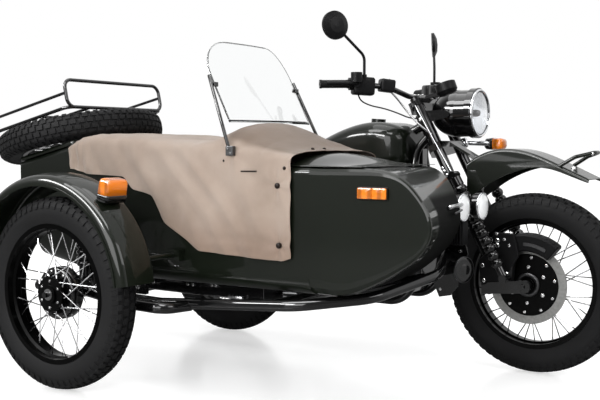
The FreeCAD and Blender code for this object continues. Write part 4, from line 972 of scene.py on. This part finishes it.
def pane_points(rows=60, columns=80):
    """Each row is as wide as the outline allows at its height; bow = 34 mm (1 - s^2), lean grows upwards."""
    up = np.linspace(0, 1, rows)[:, None] ** 0.8 * PANE_HIGH
    middle, half = sum(PANE_Y) / 2, (PANE_Y[1] - PANE_Y[0]) / 2
    over = np.clip(up - (PANE_HIGH - PANE_CORNER), 0, None) / PANE_CORNER
    width = half - PANE_CORNER * (1 - np.sqrt(np.clip(1 - over ** 2, 0, 1)))
    s = np.linspace(-1, 1, columns)[None] * width / half
    x = PANE_FOOT[0] - up * PANE_LEAN + PANE_BOW * (1 - s ** 2)
    return np.stack([x, middle + half * s, np.broadcast_to(PANE_FOOT[1] + up, s.shape)], axis=-1)


pane_grid = pane_points()
pane = surface("windshield_pane", pane_grid + REAR_GROUND, clear)
walled(pane, 0.004)
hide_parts("windshield")
edge_line = np.concatenate([pane_grid[:, 0], pane_grid[-1, 1:-1], pane_grid[::-1, -1]])
apart = np.linalg.norm(np.diff(edge_line, axis=0), axis=1) > 1e-5
tube_along("windshield_edge", edge_line[np.concatenate([[True], apart])], 0.0026, clear)

# %% Rods beside the pane
for side, y_top, y_foot, out in (("near", -0.897, -0.951, -1), ("far", -0.377, -0.362, 1)):
    crown, foot = np.array([0.612, y_top, 1.108]), np.array([0.745, y_foot, 0.842])
    rod = bar(f"stay_{side}", at(*crown), at(*foot), 0.006, enamel)
    x, _, z = crown + (foot - crown) * 0.12
    block(f"stay_clamp_{side}", (x - 0.011, y_top, z - 0.008), (x + 0.011, y_top - out * 0.02, z + 0.008),
          enamel, edge=0.002)
    block(f"stay_foot_{side}", (0.731, y_foot - 0.006, 0.829), (0.761, y_foot + 0.012, 0.862), dark_steel,
          edge=0.002)
    bolts = [at(x, y_foot + out * 0.0065, z) for x, z in ((0.741, 0.853), (0.752, 0.838))]
    bolt_heads(f"stay_bolts_{side}", bolts, 0.0042, 0.003, axis=(0, out, 0))
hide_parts("windshield_stays")


# %% [markdown]
# ## Deck and fork
#
# The hull's deck is not flat: in front of the cockpit it is crowned like a
# boat's, highest at the cover's edge, and dies out towards the nose. A thin
# chrome rod down each leg of the fork stands in for a highlight along the leg.

# %% Crowned deck
DECK_Z, DECK_MIDDLE, DECK_HALF, CROWN_HIGH = 0.800, -0.6575, 0.258, 0.041


def deck_points(rows=70, columns=60):
    """z = deck + 41 mm (1 - |s|^2.2) fade(x), where the fade falls from 1 at the cover to 0 at the nose."""
    x = np.linspace(0.962, 1.24, rows)[:, None]
    s = np.linspace(-1, 1, columns)[None]
    fade = 0.5 + 0.5 * np.cos(np.pi * np.clip((x - 0.985) / 0.255, 0, 1))
    z = DECK_Z - 0.003 + CROWN_HIGH * (1 - np.abs(s) ** 2.2) * fade
    y = np.broadcast_to(DECK_MIDDLE + DECK_HALF * s, z.shape)
    return np.stack([np.broadcast_to(x, z.shape), y, z], axis=-1)


deck = surface("deck_crown", deck_points() + REAR_GROUND, green)
walled(deck, 0.0015, -1.0)

# %% Chrome rod down the fork, standing in for a highlight
for side, hand in SIDES:
    # A chrome rod along each leg stands in for the highlight on the leg's edge.
    line = np.linspace((1.022, hand * 0.129, 1.020), (1.196, hand * 0.129, 0.734), 12)
    tube_along(f"fork_line_{side}", line, 0.0028, chrome, "steering")


# %% [markdown]
# ## Front brake
#
# The caliper straddles the disc above the hub. A cast bracket ties it to the
# leading link, and bright bolts and hose fittings stand on the bracket.

# %% Caliper, bracket and bolts
CALIPER = [(0.128, -0.058), (0.128, -0.104), (0.134, -0.112), (0.186, -0.112), (0.194, -0.104),
           (0.196, -0.066), (0.190, -0.058)]
CALIPER_RIB = [(0.150, -0.111), (0.150, -0.118), (0.162, -0.118), (0.162, -0.111)]
BRACKET = [(1.352, 0.540), (1.432, 0.536), (1.452, 0.455), (1.404, 0.372), (1.350, 0.326), (1.300, 0.345),
           (1.292, 0.430), (1.338, 0.470)]
BRIGHT = [  # forward, up, radius in millimetres
    (1.311, 0.410, 8), (1.347, 0.438, 7), (1.318, 0.353, 8), (1.358, 0.345, 6), (1.407, 0.384, 8),
    (1.389, 0.413, 5), (1.396, 0.513, 6), (1.415, 0.491, 6), (1.366, 0.533, 6), (1.369, 0.508, 9),
    (1.369, 0.490, 9)]
CAP_RING = [(0.030, -0.001), (0.044, -0.001), (0.046, 0.003), (0.044, 0.007), (0.034, 0.008), (0.030, 0.004)]
saddle("caliper_front", CALIPER, 50, 103, plastic)
saddle("caliper_rib", CALIPER_RIB, 60, 92, dark_steel)
plate("caliper_bracket", BRACKET, -0.126, -0.112, plastic, "steering", 0.004)
for x, z, size in BRIGHT:
    name = f"bracket_bolt_{int(x * 1000)}_{int(z * 1000)}"
    bolt_heads(name, [at(x, -0.126, z)], size / 1000, 0.006, "steering", sides=8)
turned("hub_cap_ring", CAP_RING, FRONT_AXLE + [0.0, -0.0742, 0.0], RIGHT, dark_steel, "front_roller")


# %% [markdown]
# ## Between the nose and the wheel
#
# A finned regulator, the horn and their bracket fill the room between the
# hull's nose and the front wheel. They ride with the chassis, so they stand
# still when the bars turn.

# %% Horn, regulator and bracket
NOSE_BRACKET = [(1.236, 0.505), (1.318, 0.512), (1.330, 0.470), (1.300, 0.420), (1.290, 0.350),
                (1.262, 0.315), (1.215, 0.305), (1.190, 0.360), (1.205, 0.450)]
HORN, HORN_AIM = at(1.318, -0.318, 0.415), (0.9, -0.35, 0)
HORN_FORM = [(0, -0.034), (0.020, -0.034), (0.026, -0.028), (0.030, -0.012), (0.046, -0.006), (0.048, 0.0),
             (0.046, 0.003), (0.036, 0.0015), (0.018, 0.004), (0, 0.005)]
HORN_RIM = [(0.0455, -0.002), (0.0485, -0.002), (0.0485, 0.004), (0.0455, 0.004)]
plate("front_bracket", NOSE_BRACKET, -0.306, -0.298, enamel)
block("regulator", (1.228, -0.345, 0.505), (1.325, -0.298, 0.592), plastic)
for number in range(9):
    x = 1.232 + number * 0.0105
    block(f"regulator_fin_{number}", (x, -0.356, 0.509), (x + 0.004, -0.344, 0.588), plastic, edge=0.0008)
turned("horn", HORN_FORM, HORN, HORN_AIM, enamel, steps=40)
turned("horn_rim", HORN_RIM, HORN, HORN_AIM, dark_steel, steps=40)
bolts = [at(x, -0.3065, z) for x, z in ((1.250, 0.480), (1.300, 0.480), (1.222, 0.335))]
bolt_heads("bracket_bolts", bolts, 0.006, 0.005)
bar("lamp_bar", at(1.335, -0.375, 0.655), at(1.410, -0.640, 0.662), 0.007, steel)
bar("lamp_bar_low", at(1.335, -0.375, 0.636), at(1.412, -0.600, 0.640), 0.004, dark_steel)


# %% [markdown]
# ## Controls and cables
#
# Each hand has a switch block beside the grip and a fluid reservoir further
# in. Cables leave them, hang free for a hand's width and go in by the fork.

# %% Controls
BOXES = [  # name, outer and inner end, half sizes at the ends and between them, edge, squareness
    ("switch_block", [(0.853, 0.323, 1.094), (0.908, 0.262, 1.09)], (0.024, 0.031), (0.028, 0.035), 0.006, 6),
    ("reservoir", [(0.926, 0.240, 1.098), (0.962, 0.198, 1.092)], (0.022, 0.022), (0.025, 0.025), 0.004, 7)]
SCREWS = [(0.936, 0.226, 1.1225), (0.952, 0.209, 1.120)]


def on_side(points, hand):
    """Points given for the left hand, as points of the scene on either hand."""
    return [at(x, hand * y, z) for x, y, z in points]


for side, hand in SIDES:
    for name, ends, end_size, size, edge, squareness in BOXES:
        start, end = on_side(ends, hand)
        length = np.linalg.norm(end - start)
        stations = [(0, *end_size), (edge, *size), (length - edge, *size), (length, *end_size)]
        pod(f"{name}_{side}", stations, start, end - start, plastic, "steering", squareness)
    bolt_heads(f"reservoir_screws_{side}", on_side(SCREWS, hand), 0.003, 0.002, "steering", UP)

# %% Cables
CONTROL_ROUTE = [(0.868, 0.308, 1.066), (0.866, 0.300, 1.040), (0.893, 0.262, 1.018), (0.930, 0.212, 1.008),
                 (0.966, 0.165, 0.990), (1.005, 0.130, 0.968), (1.045, 0.110, 0.968)]
HOSE_ROUTE = [(0.953, 0.205, 1.074), (0.968, 0.185, 1.052), (0.990, 0.160, 1.012), (1.024, 0.148, 0.968),
              (1.060, 0.136, 0.930), (1.092, 0.112, 0.905)]


def cable(name, route, diameter, material):
    """A cable whose centreline is one open NURBS spline, drawn by the pull of its route's points."""
    curve = bpy.data.curves.new(name, "CURVE")
    curve.dimensions = "3D"
    spline = curve.splines.new("NURBS")
    spline.points.add(len(route) - 1)
    for point, place in zip(spline.points, route):
        point.co = (*place, 1.0)
    spline.order_u = 3
    spline.use_endpoint_u = True
    spline.resolution_u = 12
    bare = curve.copy()  # a copy of the curve, made into a mesh and removed again without being used
    plain = bpy.data.objects.new(name + "_line", bare)
    line = bpy.data.meshes.new_from_object(plain)
    bpy.data.objects.remove(plain)
    bpy.data.meshes.remove(line)
    bpy.data.curves.remove(bare)
    curve.bevel_depth = diameter / 2
    curve.bevel_resolution = 5
    curve.use_fill_caps = True
    made = shown(name, curve, material, "steering")


for side, hand in SIDES:
    cable(f"control_cable_{side}", on_side(CONTROL_ROUTE, hand), 0.0055, rubber)
    cable(f"brake_hose_{side}", on_side(HOSE_ROUTE, hand), 0.008, steel)


# %% [markdown]
# ## Rails and small fittings
#
# Under the hull runs a black rail with its clamp and pins, and small bright
# fasteners mark the fork's joints. They are what tells the eye that
# the dark parts below are machinery.

# %% Rail under the hull, fork fittings
RAIL_BOLTS = [(0.430, 0.350), (0.455, 0.350), (0.545, 0.356), (0.562, 0.356), (0.260, 0.345), (0.800, 0.360)]
FORK_BOLTS = [(1.142, 0.774), (1.150, 0.762), (1.160, 0.749), (1.203, 0.726), (1.046, 0.965)]
LOOP_BOLTS = [(1.622, 0.780), (1.665, 0.745), (1.688, 0.834)]
block("hull_rail", (0.170, -0.802, 0.312), (0.820, -0.772, 0.371), enamel, edge=0.006)
block("hull_rail_clamp", (0.782, -0.815, 0.300), (0.836, -0.765, 0.376), enamel, edge=0.005)
bar("hull_rail_rod", at(0.425, -0.815, 0.293), at(0.505, -0.815, 0.293), 0.009, steel)
bar("hull_rail_pin", at(0.632, -0.815, 0.322), at(0.694, -0.815, 0.322), 0.0075, steel)
bolt_heads("hull_rail_bolts", [at(x, -0.803, z) for x, z in RAIL_BOLTS], 0.007, 0.005)
bolt_heads("fork_fittings", [at(x, -0.128, z) for x, z in FORK_BOLTS], 0.0075, 0.005, "steering", sides=8)
bolt_heads("guard_loop_bolts", [at(x, -0.030, z) for x, z in LOOP_BOLTS], 0.008, 0.012, "steering", sides=8)
yoke_bolts = [at(0.985 + 0.018 * k, -0.062, 1.062) for k in range(3)]
bolt_heads("yoke_bolts", yoke_bolts, 0.006, 0.005, "steering", UP)


# %% [markdown]
# ## Sidecar hub
#
# Behind the hub's small flange stands a wide black drum with a ring of bolts,
# and two bright nuts hold the arm to the hull.

# %% Drum and nuts
DRUM = [(0.020, -0.030), (0.088, -0.030), (0.093, -0.024), (0.093, 0.016), (0.088, 0.022), (0.072, 0.024),
        (0.068, 0.020), (0.030, 0.020), (0.020, 0.016)]
turned("sidecar_drum", DRUM, SIDE_AXLE, RIGHT, enamel, "sidecar_roller", 56)
bolt_heads("drum_bolts", circle_of(SIDE_AXLE, 0.080, 8, -0.0225, 0.2), 0.0055, 0.005, "sidecar_roller")
bolt_heads("arm_nuts", [at(0.321, -0.945, 0.400), at(0.316, -0.945, 0.349)], 0.012, 0.010)
block("arm_mount", (0.290, -0.945, 0.320), (0.348, -0.925, 0.430), enamel, edge=0.004)


# %% [markdown]
# ## Seat and grips
#
# The rider's saddle is a crowned vinyl pad: sections between an ellipse and a
# box, widest behind, drawn in towards the nose, with a welt round its edge.
# Rubber grips have fine rings for the hand between two collars.

# %% Seat pad
SEAT = [  # forward from its rear end, half width, half height
    (0.000, 0.0, 0.0), (0.002, 0.060, 0.016), (0.014, 0.100, 0.028), (0.050, 0.130, 0.037),
    (0.140, 0.141, 0.041), (0.260, 0.138, 0.038), (0.360, 0.126, 0.034), (0.450, 0.108, 0.032),
    (0.520, 0.088, 0.030), (0.556, 0.066, 0.024), (0.571, 0.036, 0.014), (0.573, 0.0, 0.0)]
SEAT_REAR, SEAT_Z = -0.112, 0.777
marks = np.array(SEAT)
where = np.concatenate([np.linspace(0, 0.05, 14), np.linspace(0.06, 0.51, 50), np.linspace(0.52, 0.573, 14)])
fine = np.stack([where] + [np.interp(where, marks[:, 0], marks[:, k]) for k in (1, 2)], axis=-1)
for _ in range(4):
    fine[2:-2, 1:] = (fine[1:-3, 1:] + 2 * fine[2:-2, 1:] + fine[3:-1, 1:]) / 4
seat = pod("seat_pad", fine, at(SEAT_REAR, 0, SEAT_Z), FORWARD, vinyl, p=3.2, steps=72)
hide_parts("seat")
welt_x, welt_y = fine[1:-1, 0] + SEAT_REAR, fine[1:-1, 1] * 0.985
for side, hand in SIDES:
    welt = np.stack([welt_x, welt_y * hand, np.full(len(welt_x), SEAT_Z - 0.004)], axis=-1)
    tube_along(f"seat_welt_{side}", welt, 0.0035, rubber)


# %% Grips
def grip_profile(length):
    """Radius along the grip: 15.2 mm plus rings of 0.7 mm every 5 mm, collars at both ends."""
    h = np.linspace(0, length, 180)
    r = 0.0152 + 0.0007 * (np.cos(h * 2 * np.pi / 0.005) > 0)
    r = np.where((h < 0.008) | (h > length - 0.006), 0.0168, r)
    return np.vstack([[0.0112, 0], np.stack([r, h], axis=-1), [0.0112, length]])


for side, hand in SIDES:
    end, bend = on_side([(0.757, 0.410, 1.098), (0.862, 0.315, 1.100)], hand)
    grip = turned(f"grip_{side}", grip_profile(0.112), end, bend - end, rubber, "steering", 40, smooth=False)
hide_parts("grips")


# %% [markdown]
# ## The room
#
# A pale floor runs out of view on every side. It glows a little to the
# camera, and is duller in mirrors, both through Light Path, and keeps the
# shadows. The world is white to the camera, dim as a light, and to mirrors
# bright behind the rig and darker on the camera's side.

# %% Floor
HALF = 30
corners = [(-HALF, -HALF, 0), (HALF, -HALF, 0), (HALF, HALF, 0), (-HALF, HALF, 0)]
floor_mesh = bpy.data.meshes.new("floor")
floor_mesh.from_pydata(corners, [], [(0, 1, 2, 3)])
floor = bpy.data.objects.new("floor", floor_mesh)
bpy.context.scene.collection.objects.link(floor)
floor_finish, shader = finish_of("pale_floor", (0.9, 0.9, 0.9), 0.2, Specular_IOR_Level=0.4,
                                 Emission_Color=(1.0, 1.0, 1.0, 1.0))
ray = add(floor_finish.node_tree, "ShaderNodeLightPath").outputs
join(spread(ray["Is Camera Ray"], 0.0, 0.55), shader.inputs["Emission Strength"])
tone = ramp(ray["Is Glossy Ray"], [(0.0, (0.9, 0.9, 0.9)), (1.0, (0.4, 0.4, 0.4))])
join(tone, shader.inputs["Base Color"])
floor_mesh.materials.append(floor_finish)

# %% World
world = bpy.data.worlds.new("room")
bpy.context.scene.world = world
world.use_nodes = True
tree = world.node_tree
sky = tree.nodes["Background"]
sky.inputs["Color"].default_value = (1.0, 1.0, 1.0, 1.0)
ray = add(tree, "ShaderNodeLightPath").outputs
seen = add(tree, "ShaderNodeMath", operation="MAXIMUM")
join(ray["Is Camera Ray"], seen.inputs[0])
join(ray["Is Transmission Ray"], seen.inputs[1])
way = add(tree, "ShaderNodeSeparateXYZ")
join(add(tree, "ShaderNodeTexCoord").outputs["Generated"], way.inputs["Vector"])
chosen = add(tree, "ShaderNodeMix", data_type="FLOAT")
join(ray["Is Glossy Ray"], chosen.inputs["Factor"])
join(spread(seen.outputs["Value"], 0.35, 1.0), chosen.inputs["A"])
join(spread(way.outputs["Y"], 0.25, 1.0, -0.35, 0.3, "SMOOTHSTEP"), chosen.inputs["B"])
join(chosen.outputs["Result"], sky.inputs["Strength"])

# %% Lamps
LAMPS = [  # name, place, aimed at, width, height, power in watts, seen in gloss only
    ("side", (1.0, -4.8, 1.9), (0.4, -0.9, 0.6), 3.4, 2.2, 120, False),
    ("overhead", (0.2, -0.5, 4.4), (0.3, -0.5, 0.0), 3.4, 2.4, 60, False),
    ("front", (4.4, -1.0, 2.8), (1.0, -0.4, 0.7), 2.2, 1.6, 45, False),
    ("strip", (-1.0, -3.9, 2.9), (0.8, -0.4, 0.8), 4.2, 0.7, 330, True),
    ("top strip", (0.6, -2.4, 4.0), (0.6, -0.6, 0.6), 4.2, 1.2, 170, True),
]
for name, place, target, width, height, power, gloss_only in LAMPS:
    light = bpy.data.lights.new(name, "AREA")
    light.shape = "RECTANGLE"
    light.size = width
    light.size_y = height
    light.energy = power
    lamp = bpy.data.objects.new(name, light)
    lamp.location = at(*place)
    aim = at(*target) - at(*place)
    lift = math.atan2(aim[2], math.hypot(aim[0], aim[1]))
    lamp.rotation_euler = (math.pi / 2 + lift, 0.0, math.atan2(-aim[0], aim[1]))
    lamp.visible_diffuse = not gloss_only
    bpy.context.scene.collection.objects.link(lamp)

bpy.context.scene.view_settings.view_transform = "Standard"
